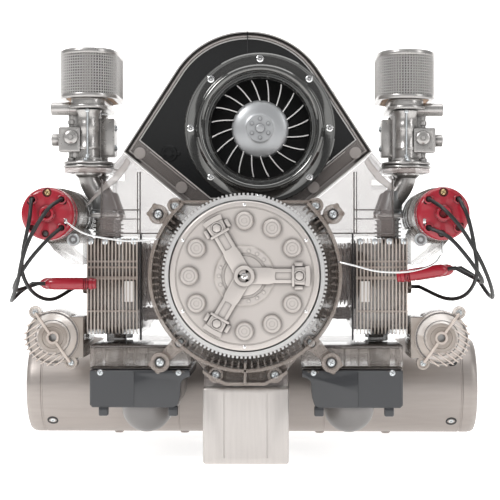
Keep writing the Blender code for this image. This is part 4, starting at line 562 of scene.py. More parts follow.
def brushed_finish(name, slot_name, colour, roughness, metallic, stretch, depth=0.4):
    made = Finish(name, slot_name, colour, roughness, metallic)
    grain = made.noise(60, 4, made.stretched(*stretch))
    made.drive("Base Color", made.blend(grain, tuple(c * 0.78 for c in colour), colour))
    made.drive("Roughness", roughness - 0.08 + 0.2 * grain)
    made.bump(grain, depth, 0.00006)
    return made


PALE_SILVER = satin_finish("pale_silver", "silver_plastic", (0.555, 0.515, 0.488), 0.36, 0.45)
SILVER = satin_finish("satin_silver", "silver_plastic", (0.5, 0.485, 0.47), 0.28, 0.8)
DARK_SILVER = satin_finish("shadow_silver", "silver_plastic", (0.27, 0.275, 0.275), 0.34, 0.65)
GEAR_SILVER = satin_finish("gear_silver", "silver_plastic", (0.6, 0.595, 0.59), 0.34, 0.7)
HUB_SATIN = satin_finish("hub_satin", "silver_plastic", (0.44, 0.45, 0.46), 0.36, 0.55, depth=0.03)
BLADE_SILVER = satin_finish("blade_silver", "silver_plastic", (0.5, 0.495, 0.49), 0.35, 0.4, depth=0.03)
# Painted light and shade: the blades' front edges are pale silver as if lit, and the rest of each blade is
# painted almost black as shade.
BLADE_LIT_EDGE_Y = MIDDLE_Y - 0.0272
blade_shade_mask = BLADE_SILVER.depth() > BLADE_LIT_EDGE_Y
BLADE_SILVER.drive("Base Color", BLADE_SILVER.blend(blade_shade_mask, (0.62, 0.61, 0.6), (0.035, 0.035, 0.036)))
BRIGHT = satin_finish("bright_plate", "bright_metal", (0.8, 0.8, 0.8), 0.14, 1.0, depth=0.1)
ZINC = satin_finish("zinc_screws", "bright_metal", (0.74, 0.78, 0.8), 0.28, 0.9, depth=0.1)
BRASS = satin_finish("brass_screws", "bright_metal", (0.75, 0.57, 0.3), 0.28, 0.9, depth=0.1)
DARK_CHROME = satin_finish("dark_chrome", "bright_metal", (0.13, 0.13, 0.125), 0.07, 0.85, depth=0.05,
    coat=0.8)
MESH_SILVER = satin_finish("mesh_silver", "bright_metal", (0.86, 0.84, 0.82), 0.4, 0.25)
ALUMINIUM = brushed_finish("brushed_stand", "silver_plastic", (0.62, 0.585, 0.56), 0.34, 0.6, (9, 9, 0.6))
DRUM_METAL = brushed_finish("drum_silver", "warm_silver", (0.43, 0.39, 0.365), 0.4, 0.65, (0.7, 6, 6), 0.2)
DUCT_GREY = satin_finish("elbow_grey", "warm_silver", (0.24, 0.23, 0.225), 0.36, 0.45)
STEEL = brushed_finish("turned_steel", "dark_steel", (0.42, 0.41, 0.4), 0.3, 0.9, (8, 0.8, 8))
BLACK_COVER = satin_finish("black_cover", "black_plastic", (0.027, 0.029, 0.033), 0.3, 0.0, coat=0.4)
BLACK_TRIM = satin_finish("black_trim", "black_plastic", (0.012, 0.012, 0.013), 0.4, 0.0)
SMOKED = satin_finish("smoked_housing", "smoked_plastic", (0.004, 0.0043, 0.0045), 0.14, 0.0, depth=0.05,
    coat=0.1)
SMOKED.drive("IOR", 1.33)
RED = satin_finish("red_cap", "red_plastic", (0.34, 0.012, 0.026), 0.24, 0.0, depth=0.03, coat=0.35)
RUBBER = satin_finish("black_lead", "black_rubber", (0.006, 0.006, 0.0065), 0.42, 0.0, depth=0.1, coat=0.1)
PAPER = satin_finish("filter_paper", "bright_metal", (0.74, 0.71, 0.68), 0.8, 0.0)
# Painted light: near-white opaque colour for the bright patch on each clear head.
PAINTED_LIGHT_PATCH = satin_finish("painted_light_patch", "clear_plastic", (0.86, 0.84, 0.82), 0.12, 0.0)
FELT = satin_finish("filter_felt", "bright_metal", (0.55, 0.36, 0.24), 0.8, 0.0)
GASKET = clear_finish("pink_gasket", (0.86, 0.74, 0.7), (0.4, 0.3, 0.28), 0.35, 0.9)
print("finishes ready", len(bpy.data.materials))


# %% [markdown]
# ## Ignition leads and thin wires
# The leads are free cords. They leave the sockets of the red caps straight, bend round the sides of the
# engine and go back into it at the plugs. Their routes repeat the CAD model's points. A smooth curve through
# them is resampled evenly, and the cord is a single curve with a round section.

# %% Cord routes
def smooth_route(points, count):
    """Evenly spaced points on the smooth curve through the given ones."""
    knots = [Vector(p) for p in points]
    knots = [2 * knots[0] - knots[1]] + knots + [2 * knots[-1] - knots[-2]]
    fine = []
    for i in range(1, len(knots) - 2):
        before, start, end, after = knots[i - 1 : i + 3]
        for step in range(16):
            t = step / 16
            curve = 2 * start + (end - before) * t + (2 * before - 5 * start + 4 * end - after) * t**2
            fine.append((curve + (3 * start - before - 3 * end + after) * t**3) / 2)
    fine.append(knots[-2])
    lengths = [0]
    for here, following in zip(fine, fine[1:]):
        lengths.append(lengths[-1] + (following - here).length)
    placed = []
    at = 0
    for number in range(count):
        wanted = lengths[-1] * number / (count - 1)
        while at < len(fine) - 2 and lengths[at + 1] < wanted:
            at += 1
        share = (wanted - lengths[at]) / (lengths[at + 1] - lengths[at])
        placed.append(fine[at].lerp(fine[at + 1], share))
    return placed


LEAD_MIDDLES = {"left_well": mm((-118.7, -60, 137.5), (-122.5, -57, 121), (-124, -49, 108.5),
    (-120, -35, 97.5), (-112.5, -15, 93.5)), "left_rear": mm((-107.5, -66.5, 144), (-116, -69, 130),
    (-121, -68, 117), (-125, -60, 104), (-130.5, -45, 95), (-133.5, -29, 93.5), (-130, -17, 98.5)),
    "left_front": mm((-108, -61, 128), (-118, -62, 116.5), (-126.5, -54, 105), (-130, -41, 99.5),
    (-127.5, -29, 100)), "right_well": mm((122.5, -60, 140), (126.5, -57, 123), (128.5, -49, 108),
    (124.5, -33, 97), (115.5, -13, 94)), "right_rear": mm((109, -66.5, 144), (118.5, -69, 133),
    (127.5, -68, 118), (134, -61, 105), (138, -45, 96), (137, -30, 97.5), (132, -19, 106)),
    "right_front": mm((112, -61, 129), (122, -62, 118), (130, -54, 107.5), (132.5, -41, 104),
    (129, -29, 106.5))}
WIRE_POINTS = {"left": mm((-99.5, -52.3, 138), (-99.5, -57, 138), (-87.3, -60, 130.8), (-68, -56, 127.2),
    (-56, -53, 127.2), (-48.4, -50, 128), (-48.4, -44.3, 128)), "right": mm((51.8, -44.3, 115.4),
    (51.8, -50, 115.4), (60, -53, 113.5), (74.5, -52, 110), (91, -50, 110), (104.5, -46, 114),
    (110, -44, 120.5), (110, -44, 126.9))}
LEAD_DIAMETER = 0.0022
WIRE_DIAMETER = 0.001
CAM_X = 0.11
CAM_UP = 0.0345
SOCKET_DEPTH = 0.0027
TILT = {-1: 0.0, 1: math.radians(9)}
CONNECTOR_UP = {-1: -0.0051, 1: -0.0012}
CONNECTORS = {"front": (0.0862, -0.057), "rear": (0.0904, -0.049)}
CONNECTOR_LENGTH = 0.0292


def connector_line(side, kind):
    inner, at = CONNECTORS[kind]
    start = Vector((side * inner, station(at), height(CONNECTOR_UP[side])))
    return start, Vector((side * math.cos(TILT[side]), 0, math.sin(TILT[side])))


def lead_ends(name):
    """Where a lead leaves its socket and goes into its plug, each with its straight first stretch."""
    side_name, kind = name.split("_")
    side = SIDES[side_name]
    across, up = {"well": (side, 1), "rear": (-side, 1), "front": (-side, -1)}[kind]
    start = Vector((side * CAM_X + across * 0.0082, -0.052 + SOCKET_DEPTH, height(CAM_UP + up * 0.0079)))
    clear = start - Vector((0, SOCKET_DEPTH + 0.0003 + LEAD_DIAMETER, 0))
    if kind == "well":
        front = bore_station(side)
        end = Vector((side * 0.0983, front, height(-0.0077)))
        return [start, clear], [end + Vector((side * 2 * LEAD_DIAMETER, 0, 0)), end]
    root, heading = connector_line(side, kind)
    end = root + heading * (CONNECTOR_LENGTH + 0.0003)
    return [start, clear], [end + heading * 2 * LEAD_DIAMETER, end]


def cord_piece(name, points, diameter, finish):
    made = replacing(round_line(name, points, diameter / 2, 3), name, "cord", finish)


# %% Lay the cords
for name, middle in LEAD_MIDDLES.items():
    start, end = lead_ends(name)
    line = [start[0]] + smooth_route([start[1]] + middle + [end[0]], 34) + [end[1]]
    cord_piece(f"ignition_lead_{name}", line, LEAD_DIAMETER, RUBBER)
for name, points in WIRE_POINTS.items():
    line = [Vector(points[0])] + smooth_route(points[1:-1], 32) + [Vector(points[-1])]
    cord_piece(f"signal_wire_{name}", line, WIRE_DIAMETER, BRIGHT)


# %% [markdown]
# ## The solids that keep their own shape
# The crankcase halves, the crankshaft, the rods, the pistons and the camshafts sit behind clear walls. Their
# CAD shape is right already, so they only get the finish of the real thing.

# %% Finish the inner solids
def cad_object(node):
    return next(o for o in bpy.data.objects if o.name == node or o.name == f"node:{node}")


def dressed(node, finish):
    solid = cad_object(node)
    if not solid.material_slots:
        solid.data.materials.append(finish.material)
    for place in solid.material_slots:
        place.material = finish.material


INNER = {"crankcase_": SHEET, "crankshaft": STEEL, "conrod_": STEEL, "piston_": SILVER, "camshaft_": STEEL}
for node in frame["nodes"]:
    for start, finish in INNER.items():
        if node.startswith(start):
            dressed(node, finish)


# %% [markdown]
# ## Screws
# The model is held together by small Phillips screws. One screw is a turned round head with a cross pressed
# into it. It is modelled once and copied to every boss. A screw is made at the origin facing -Y and then
# turned and moved with its mesh.

# %% One Phillips screw
def face_on(obj, place, facing=(0, -1, 0)):
    """Moves a small piece made at the origin, facing -Y, to a place where it faces another way."""
    turning = Vector((0, -1, 0)).rotation_difference(Vector(facing)).to_matrix().to_4x4()
    obj.data.transform(Matrix.Translation(Vector(place)) @ turning)
    return obj


def phillips(radius, rise):
    head = turned("Y", (0, 0), [(0, 0.0002), (radius, 0.0002), (radius, -0.4 * rise), (0.72 * radius, -rise),
        (0, -1.1 * rise)], steps=20)
    bars = []
    for turn in (0, math.pi / 2):
        bar = block((-0.6 * radius, -2 * rise, -0.13 * radius), (0.6 * radius, -0.35 * rise, 0.13 * radius))
        bar.data.transform(Matrix.Rotation(turn + 0.5, 4, "Y"))
        bars.append(bar)
    return cut(head, *bars)


def placed_copies(master, places, facing=(0, -1, 0)):
    """Copies of a small piece at every place, as one piece. The master is used up."""
    copies = [face_on(copied(master), place, facing) for place in places]
    bpy.data.objects.remove(master)
    return joined(*copies)


# %% [markdown]
# ## Stand
# A block of aluminium with rounded edges and two fine grooves on its front. The edges are bevelled, and the
# grooves are cut with two thin blocks.

# %% Stand block
low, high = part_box("stand_block")
stand = block(low, high)
eased(stand, 0.0016, 3, 60)
grooves = [block((x - 0.0004, low.y - 0.001, low.z + 0.004), (x + 0.0004, low.y + 0.0006, high.z - 0.003))
    for x in (-0.01225, 0.01225)]
cut(stand, *grooves)
finished(stand, "stand", ALUMINIUM, stands_for=["stand_block"])
print("stand", len(stand.data.polygons))


# %% [markdown]
# ## Flywheel
# The ring gear has 120 teeth. It is a cylinder with 240 sides, and every second side is pushed outwards by
# one tooth height, which is what a gear cutter leaves. The disc in front of it is turned, with the fine
# groove between disc and ring that shows as a double line on the photo.

# %% Ring gear and disc
GEAR_RADIUS = 0.046
TOOTH = 0.0013
GEAR_FRONT, GEAR_BACK = -0.052, -0.046
TEETH = 120
CRANK = (0, CRANK_Z)
TO_CRANK = (0, 0, CRANK_Z)

gear = cylinder("Y", GEAR_RADIUS - TOOTH, GEAR_FRONT + 0.0002, GEAR_BACK, CRANK, 2 * TEETH)
editing(gear)


def tooth_side(centre, normal):
    turn = math.atan2(centre.z - CRANK_Z, centre.x) / FULL_TURN * 2 * TEETH
    return abs(normal.y) < 0.5 and math.floor(turn) % 2 == 0


pick_faces(tooth_side)
bpy.ops.mesh.extrude_region_shrink_fatten(TRANSFORM_OT_shrink_fatten={"value": TOOTH})
done()
ring = turned("Y", CRANK, mm((40.5, -51), (42.2, -51), (42.4, -52), (44.3, -52), (44.7, -51.5), (44.7, -46),
    (43.5, -46), (43.5, -40), (0, -40), (0, -50.5)), 96)
wheel = replacing([gear, ring], "flywheel", "ring", GEAR_SILVER, "crank")
print("flywheel", len(wheel.data.polygons))


# %% [markdown]
# ## Clutch cover
# The cover is a shallow pressed dish with nine spring caps and three release levers. The caps are turned
# with two fine steps. Each lever is a flat bar with a wider pad, a round bolt and two lugs beside it. The
# levers and caps are modelled once and spun round the crank.

# %% Cover dish
dish = turned("Y", CRANK, mm((0, -52.3), (41.4, -52.3), (41.4, -54.5), (40.9, -55.1), (40.2, -55.3),
    (38.5, -55.3), (38.3, -55.05), (37.8, -55.05), (37.6, -55.3), (17, -55.3), (16.5, -55.8), (15.9, -56.3),
    (12.8, -56.3), (12.6, -56.1), (12.2, -56.1), (12, -56.3), (6.8, -56.3), (6.2, -56.7), (5.7, -57.3),
    (5.7, -60.4), (5.3, -60.8), (4, -60.8), (3.6, -60.4), (3.6, -57.8), (0, -57.8)), 96)


# %% Spring caps, levers and dowels
cap_places = on_circle(CRANK, 0.0305, (30, 60, 90, 150, 180, 210, 270, 300, 330))
caps = [turned("Y", place, mm((0, -55), (5.2, -55), (5.1, -56.2), (4.8, -57.4), (4.3, -57.9), (3.4, -57.9),
    (3.3, -57.7), (3, -57.7), (2.9, -57.8), (1.7, -57.8), (1.5, -57.6), (0, -57.6)), 32)
    for place in cap_places]

arm_outline = mm((0, -4.6), (13.5, -4.6), (16.5, -4), (26.8, -4), (28, -4.7), (35.2, -5), (36.3, -4),
    (36.4, 4), (35.2, 5), (28, 4.7), (26.8, 4), (16.5, 4), (13.5, 4.6), (0, 4.6))
arm = eased(moved(plate(arm_outline, -0.0555, -0.0586), TO_CRANK), 0.0007, 3, 50)
channel = plate(mm((17.2, -2.1), (25.8, -2.1), (26.2, 0), (25.8, 2.1), (17.2, 2.1), (16.8, 0)), -0.0595,
    -0.058)
cut(arm, moved(channel, TO_CRANK))
pad = plate(arc((0, 0), 0.0364, -9, 9, 6) + arc((0, 0), 0.0338, 9, -9, 6), -0.0585, -0.0591)
eased(moved(pad, TO_CRANK), 0.0002, 1, 50)
bolt = cylinder("Y", 0.0024, -0.0597, -0.0582, (0.0303, CRANK_Z), 6)
eased(bolt, 0.0003, 2, 50)
collar = turned("Y", (0.0303, CRANK_Z), mm((2.7, -58.5), (3.5, -58.5), (3.4, -59), (2.8, -59)), 32)
crossbar = eased(block((0.0262, -0.0592, CRANK_Z - 0.0058), (0.0276, -0.057, CRANK_Z + 0.0058)), 0.0003, 2)
ears = [eased(block((0.0276, -0.0577, CRANK_Z + side * 0.0064 - 0.0011),
    (0.0322, -0.0552, CRANK_Z + side * 0.0064 + 0.0011)), 0.0004, 2) for side in (-1, 1)]
studs = [turned("Y", place, mm((0, -56.2), (0.9, -56.2), (0.9, -56.6), (0.6, -56.8), (0, -56.8)), 12)
    for place in on_circle(CRANK, 0.014, (40, 60, 80))]
lever = joined(arm, pad, bolt, collar, crossbar, *ears, *studs)
levers = [lever] + [spun(copied(lever), math.radians(-turn), TO_CRANK) for turn in (120, 240)]
hub_plate = eased(moved(plate(arc((0, 0), 0.011, 0, 358, 60), -0.0562, -0.0573), TO_CRANK), 0.0005, 3, 50)
cover = replacing([dish, hub_plate, *caps, *levers], "clutch_cover", "dressed", PALE_SILVER, "crank")

dowels = [turned("Y", place, mm((0, -55.1), (0.9, -55.1), (0.9, -55.6), (0.6, -55.8), (0, -55.8)), 12)
    for place in on_circle(CRANK, 0.0393, (90, 30, -30, -90, -150, 150))]
hub_screw = face_on(phillips(0.0024, 0.0008), (0, -0.058, CRANK_Z))
finished([hub_screw, *dowels], "clutch_dowels_and_hub_screw", BRIGHT, "crank")
finished(hoop("Y", CRANK, 0.0415, 0.0423, -0.0512, -0.0518, 96), "flywheel_groove", DARK_SILVER, "crank")
finished(hoop("Y", CRANK, 0.0028, 0.0035, -0.0581, -0.0579, 32), "hub_recess_ring", BLACK_TRIM, "crank")
print("clutch cover", len(cover.data.polygons))


# %% [markdown]
# ## Bell housing
# A clear moulded plate behind the flywheel with a rim forward round it. Small ribs run across the inside of
# the rim. The plate and the rim are flat outlines that are extruded. The screw bosses are turned, with a step
# where each screw sits, and the shaft's hole is cut through the plate.

# %% Bell plate and rim
BELL_RADIUS = 0.0545
BELL_RIM_WALL = 0.0022
BELL_FRONT, BELL_BACK, BELL_REACH = -0.03, -0.024, -0.044
BELL_TOP_UP = 0.0423
BELL_TOP_HALF = 0.0425


def on_crank(outline):
    return [(out, height(up)) for out, up in outline]


def sided(side, outline):
    """An outline drawn for the right, on either side."""
    return [(side * out, up) for out, up in outline]


def both_sides(right):
    """A closed outline from its right half, listed from the top down."""
    return right + [(-out, up) for out, up in reversed(right)]


plate_right = [(BELL_TOP_HALF, BELL_TOP_UP)] + arc((0, 0), 0.054, 38, -52, 30)
plate_right += [(0.021, -0.057), (0.011, -0.0617)]
bell = plate(on_crank(both_sides(plate_right)), BELL_FRONT, BELL_BACK)
eased(bell, 0.0008, 2, 40)
cut(bell, cylinder("Y", 0.0105, -0.05, 0, CRANK, 48))
print("bell plate", len(bell.data.polygons))

rim_start = math.degrees(math.asin((BELL_TOP_UP - 0.001) / BELL_RADIUS))
outer_arc = arc((0, 0), BELL_RADIUS, rim_start, -180 - rim_start, 96)
inner_arc = arc((0, 0), BELL_RADIUS - BELL_RIM_WALL, -180 - rim_start, rim_start, 96)
rim = plate(on_crank(outer_arc + inner_arc), BELL_REACH, BELL_FRONT + 0.0005)
eased(rim, 0.0005, 2, 50)

RIB_COUNT = 66
rib = eased(block((0.0485, BELL_REACH + 0.0003, CRANK_Z - 0.0006), (0.0528, BELL_FRONT + 0.0004, CRANK_Z
    + 0.0006)), 0.0003, 1)
ribs = [rib]
span = math.radians(180 + 2 * rim_start)
for number in range(1, RIB_COUNT):
    ribs.append(spun(copied(rib), span * number / RIB_COUNT + math.radians(-rim_start), TO_CRANK))
spun(rib, math.radians(-rim_start + 1), TO_CRANK)
top_wall = eased(block((-BELL_TOP_HALF, -0.0395, height(0.0403)), (BELL_TOP_HALF, BELL_FRONT,
    height(BELL_TOP_UP))), 0.0005, 2)
keel = eased(block((-0.0008, BELL_REACH, height(-0.0617)), (0.0008, BELL_FRONT, height(-0.0485))), 0.0003, 1)
foot_outline = mm((0.8, -61.7), (11, -61.7), (21, -57), (24, -54.5), (23.5, -53), (20.5, -55.2), (10.6, -60),
    (0.8, -60))
feet = [plate(on_crank(sided(side, foot_outline)), -0.0435, BELL_FRONT) for side in (-1, 1)]


# %% Bell bosses and their screws
def boss(place, radius, front, back, recess=0.55, depth=0.0008):
    """A turned screw boss with a shallow step round its screw, along Y."""
    x, z = place
    return turned("Y", (x, z), [(0, back), (radius, back), (radius, front + 0.0004), (radius - 0.0004, front),
        (radius * (recess + 0.12), front), (radius * recess, front + depth), (0, front + depth)], 28)


bosses = []
screw_places = []
for side in (-1, 1):
    for out, up, radius, front in ((0.0395, 0.0393, 0.0045, -0.0395), (0.037, -0.038, 0.0045, -0.0395),
            (0.0167, -0.0561, 0.0045, -0.0395), (0.0494, 0.0345, 0.0057, -0.036),
            (0.0485, -0.0493, 0.0057, -0.036)):
        bosses.append(boss((side * out, height(up)), radius, front, BELL_FRONT + 0.003))
        screw_places.append((side * out, front + 0.0009, height(up)))
    for out, up in ((0.0494, 0.0345), (0.0485, -0.0493)):
        turn = math.atan2(up, out)
        for lean in (-0.55, 0.55):
            away = (out + 0.0052 * math.cos(turn + lean), up + 0.0052 * math.sin(turn + lean))
            bosses.append(cylinder("Y", 0.0015, -0.035, -0.0264, (side * away[0], height(away[1])), 16))
        web = arc((out, up), 0.0028, math.degrees(turn) - 90, math.degrees(turn) + 90, 8)
        web += arc((out * 0.8, up * 0.8), 0.0042, math.degrees(turn) + 90, math.degrees(turn) + 270, 8)
        bosses.append(plate(on_crank(sided(side, web)), -0.0298, -0.0246))
finished(ribs, "bell_housing_ribs", RIBBED)
housing = replacing([bell, rim, top_wall, keel, *feet, *bosses], "bell_housing", "dressed", BELL)
finished(placed_copies(phillips(0.0022, 0.0009), screw_places), "bell_housing_screws", ZINC)
washers = [hoop("Y", (x, z), 0.0023, 0.003, y, y - 0.0003, 24) for x, y, z in screw_places]
finished(washers, "bell_housing_washers", BLACK_TRIM)
print("bell housing", len(housing.data.polygons))


# %% [markdown]
# ## Cooling fan
# Twenty thin blades stand round a domed hub. A blade is drawn as a swept outline, extruded along the axis and
# eased, and then copied round. The hub is turned, with a small disc in front that six bolts hold.

# %% Fan blades and hub
FAN = (FAN_X, FAN_Z)
FAN_CENTRE = (FAN_X, 0, FAN_Z)
BLADES = 20


def blade_side(half):
    points = []
    for radius, sweep in ((0.0165, 0.3), (0.0195, 3.1), (0.0225, 5.4), (0.026, 7.9), (0.029, 10.3)):
        turn = math.radians(sweep) + half / radius
        points.append((FAN_X + radius * math.cos(turn), FAN_Z + radius * math.sin(turn)))
    return points


blade = plate(blade_side(-0.00036) + blade_side(0.00036)[::-1], station(-0.0284), station(-0.0151))
eased(blade, 0.00018, 2, 50)
blades = [blade] + [spun(copied(blade), -FULL_TURN * n / BLADES, FAN_CENTRE) for n in range(1, BLADES)]
dome = [(0.017 * math.sin(a), station(-0.0255) - 0.005 * math.cos(a))
    for a in map(math.radians, range(34, 91, 7))]
hub = turned("Y", FAN, mm((0, -30.4), (7.9, -30.4), (8.2, -30.1), start=MIDDLE_Y) + dome
    + mm((17, -13.5), (3, -13.5), (3, 62), (15, 62), (15, 63.2), (13.1, 64.5), (13.1, 67.5), (15, 68.8),
    (15, 70), (0, 70), start=MIDDLE_Y), 72)
nose = turned("Y", FAN, mm((0, -31.6), (1.9, -31.6), (2.4, -31.3), (2.6, -30), (0, -30), start=MIDDLE_Y), 24)
bolts = [turned("Y", place, mm((0, -31.2), (0.7, -31.2), (1, -30.9), (1, -30.2), (0, -30.2), start=MIDDLE_Y),
    12) for place in on_circle(FAN, 0.0056, range(30, 390, 60))]
fan = replacing([hub, nose, *bolts], "fan", "hub", HUB_SATIN, "fan_rotor")
replacing(blades, "fan", "blades", BLADE_SILVER, "fan_rotor")
print("fan", len(fan.data.polygons))


# %% [markdown]
# ## Fan inlet ring
# A polished bellmouth. Its section is drawn with the flange, the rounded lip and the steps of the throat, and
# is spun round the fan's axis. Eight screws with ring washers hold it on the housing.

# %% Inlet ring
lip = [(0.0355 + 0.0026 * math.cos(a), 0.0047 - 0.003 * math.sin(a))
    for a in map(math.radians, range(0, 181, 15))]
ring = turned("Y", FAN, mm((44.6, 7.7), (44.6, 5.2), (44.1, 4.7), (43.4, 4.7), (43.2, 5), (38.9, 5)) + lip
    + mm((32.6, 5), (32.3, 5), (31.2, 6.2), (30.9, 6.2), (30.1, 8), (29.8, 8.3), (29.8, 14), (30.6, 14),
    (30.6, 7.7)), 128)
replacing(ring, "fan_inlet_ring", "dressed", DARK_CHROME)
ring_places = [(x, 0.0049, z) for x, z in on_circle(FAN, 0.0411, range(0, 360, 45))]
washer = turned("Y", (0, 0), mm((0.9, 0.2), (2.1, 0.2), (2.1, -0.3), (1.7, -0.5), (1.1, -0.5), (0.9, -0.2)),
    20)
stud = turned("Y", (0, 0), mm((0, 0.1), (0.8, 0.1), (0.7, -0.3), (0, -0.4)), 12)
finished(placed_copies(joined(washer, stud), ring_places), "inlet_ring_screws", BRIGHT)
print("inlet ring", len(ring.data.polygons))


# %% [markdown]
# ## Fan housing
# Two halves meet on a seam in the middle. The front half has a clear rim strip round a dark glossy face. The
# outline is an arc, two slopes and two diagonals. The walls are the outline filled, extruded and hollowed.

# %% Housing outline
HOUSING_SLOPE_DEGREES = 57
HOUSING_SLOPE = math.radians(HOUSING_SLOPE_DEGREES)
HOUSING_RADIUS = 0.0506
HOUSING_ARC_CENTRE = (0, 0.0933)
HOUSING_FLOOR_UP = 0.0406
HOUSING_CORNER = Vector((0.0735, 0.0723))
HOUSING_LOW = Vector((0.04, 0.0448))


def crossing(first, along, second, other):
    """Where two lines cross, each given by a point and a direction."""
    scale = along.x * other.y - along.y * other.x
    gap = second - first
    return first + along * ((gap.x * other.y - gap.y * other.x) / scale)


def housing_outline(inset, diagonal_inset=None):
    """The housing's outline moved inwards, on the two diagonals by a measure of their own if it is given."""
    diagonal_inset = inset if diagonal_inset is None else diagonal_inset
    radius = HOUSING_RADIUS - inset
    normal = Vector((math.sin(HOUSING_SLOPE), math.cos(HOUSING_SLOPE)))
    touch = Vector(HOUSING_ARC_CENTRE) + radius * normal
    fall = Vector((normal.y, -normal.x))
    run = (HOUSING_CORNER - HOUSING_LOW).normalized()
    low = HOUSING_LOW + Vector((-run.y, run.x)) * diagonal_inset
    corner = crossing(touch, fall, low, run)
    foot = crossing(low, run, Vector((0, HOUSING_FLOOR_UP + inset)), Vector((1, 0)))
    top = arc(HOUSING_ARC_CENTRE, radius, 90 - HOUSING_SLOPE_DEGREES, 90 + HOUSING_SLOPE_DEGREES, 40)
    return on_crank([tuple(foot), tuple(corner)] + top + [(-corner.x, corner.y), (-foot.x, foot.y)])


def hollow_plate(outer, inner, low, high):
    """A plate with a hole of another outline through it."""
    return cut(plate(outer, low, high), plate(inner, low - 0.001, high + 0.001))


# %% Both halves
def housing_half(name, facing):
    face = station(-facing * 0.028)
    seam = station(-facing * 0.00015)
    ends = sorted((face, seam))
    wall = hollow_plate(housing_outline(0), housing_outline(0.0024), *ends)
    strip_ends = sorted((face, face + facing * 0.002))
    strip = hollow_plate(housing_outline(0.0002), housing_outline(0.0034), *strip_ends)
    edge_ends = sorted((face, face - facing * 0.0005))
    edge = hollow_plate(housing_outline(0.004, 0.0112), housing_outline(0.0047, 0.0119), *edge_ends)
    lip = hollow_plate(housing_outline(0.0), housing_outline(0.0008), *edge_ends)
    panel_ends = sorted((face + facing * 0.0002, face + facing * 0.0018))
    panel = plate(housing_outline(0.0035), *panel_ends)
    glass_ends = sorted((face - facing * 0.0004, face + facing * 0.0001))
    glass = hollow_plate(housing_outline(0.0036, 0.0037), housing_outline(0.0039, 0.011), *glass_ends)
    hole = 0.0308 if facing == 1 else 0.0034
    cut(panel, cylinder("Y", hole, panel_ends[0] - 0.002, panel_ends[1] + 0.002, FAN, 64))
    liner = hollow_plate(housing_outline(0.0036), housing_outline(0.0043),
        *sorted((face + facing * 0.0019, face + facing * 0.024)))
    solid = [f"fan_shroud_{name}"]
    finish = SMOKED if facing == 1 else BLACK_TRIM
    finished([panel, liner], f"fan_housing_{name}_panel", finish, stands_for=solid)
    finished([wall, strip], f"fan_housing_{name}_rim", RIM, stands_for=solid)
    finished([edge, lip], f"fan_housing_{name}_edges", SILVER)
    finished(glass, f"fan_housing_{name}_glass", EDGE_CLEAR)
    return face


for name, facing in (("front", 1), ("rear", -1)):
    face = housing_half(name, facing)
    parts = []
    for side in (-1, 1):
        run = (HOUSING_CORNER - HOUSING_LOW).normalized()
        inward = Vector((-run.y, run.x))
        for offset in (0.0012, 0.0098):
            a = HOUSING_LOW - run * 0.004 + inward * offset
            b = HOUSING_CORNER - run * 0.012 + inward * offset
            strip = [a, b, b + inward * 0.0007, a + inward * 0.0007]
            parts.append(plate(on_crank(sided(side, strip)), *sorted((face, face - facing * 0.0011))))
        for share in (0.08, 0.82):
            middle = HOUSING_LOW.lerp(HOUSING_CORNER, share) + inward * 0.0056
            ends = sorted((face + facing * 0.0005, face - facing * 0.0014))
            parts.append(turned("Y", (side * middle.x, height(middle.y)), [(0, ends[0]), (0.0033, ends[0]),
                (0.0036, ends[0] + 0.0003), (0.0036, ends[1]), (0, ends[1])], 28))
    finished(parts, f"fan_housing_{name}_bands", RIM)
    knobs = []
    for side in (-1, 1):
        x, z = side * 0.0465, height(0.0715)
        knobs.append(turned("Y", (x, z), [(0, face + facing * 0.0004), (0.005, face + facing * 0.0004),
            (0.005, face - facing * 0.0004), (0.0046, face - facing * 0.0008),
            (0.0034, face - facing * 0.0008), (0.0032, face - facing * 0.0002),
            (0.0021, face - facing * 0.0002), (0.0019, face - facing * 0.001), (0, face - facing * 0.001)],
            32))
        low, high = sorted((face + facing * 0.0004, face - facing * 0.0006))
        knobs.append(eased(block((x - 0.0066, low, z - 0.0012), (x + 0.0066, high, z + 0.0012)), 0.0003, 1))
    finished(knobs, f"fan_housing_{name}_knobs", SMOKED)
print("fan housing done")

seam_strip = plate(on_crank(mm((-0.25, 127), (0.25, 127), (0.3, 143.7), (-0.3, 143.7))), 0.0073, 0.008)
tabs = [plate(on_crank(shape), 0.0076, 0.0086) for shape in (mm((47.8, 109.8), (51.2, 107.8), (52.6, 105),
    (49.4, 107)), mm((60, 89.5), (62.8, 87.8), (64.3, 85), (61.3, 86.8)))]
finished([seam_strip, *tabs], "fan_housing_clips", BLACK_TRIM)


# %% [markdown]
# ## Air ducts
# Thin clear sheets lead the air from the housing down over the barrels. The CAD ducts keep their shape. They
# get the clear sheet finish, and their front edges get the dark beads that show on the photo.

# %% Ducts
for name in SIDES:
    dressed(f"air_duct_{name}", SHEET)


# %% Wing bars and edge beads
BEAD_DEPTH = (-0.006, -0.005)


def bar_between(side, start, end, half, low, high):
    """A straight bar seen from the front, between two (out, up) places."""
    run = (Vector(end) - Vector(start)).normalized()
    across = Vector((-run.y, run.x)) * half
    corners = [Vector(start) + across, Vector(end) + across, Vector(end) - across, Vector(start) - across]
    made = plate(on_crank(sided(side, corners)), low, high)
    return eased(made, min(half, (high - low) / 2) * 0.6, 3, 50)


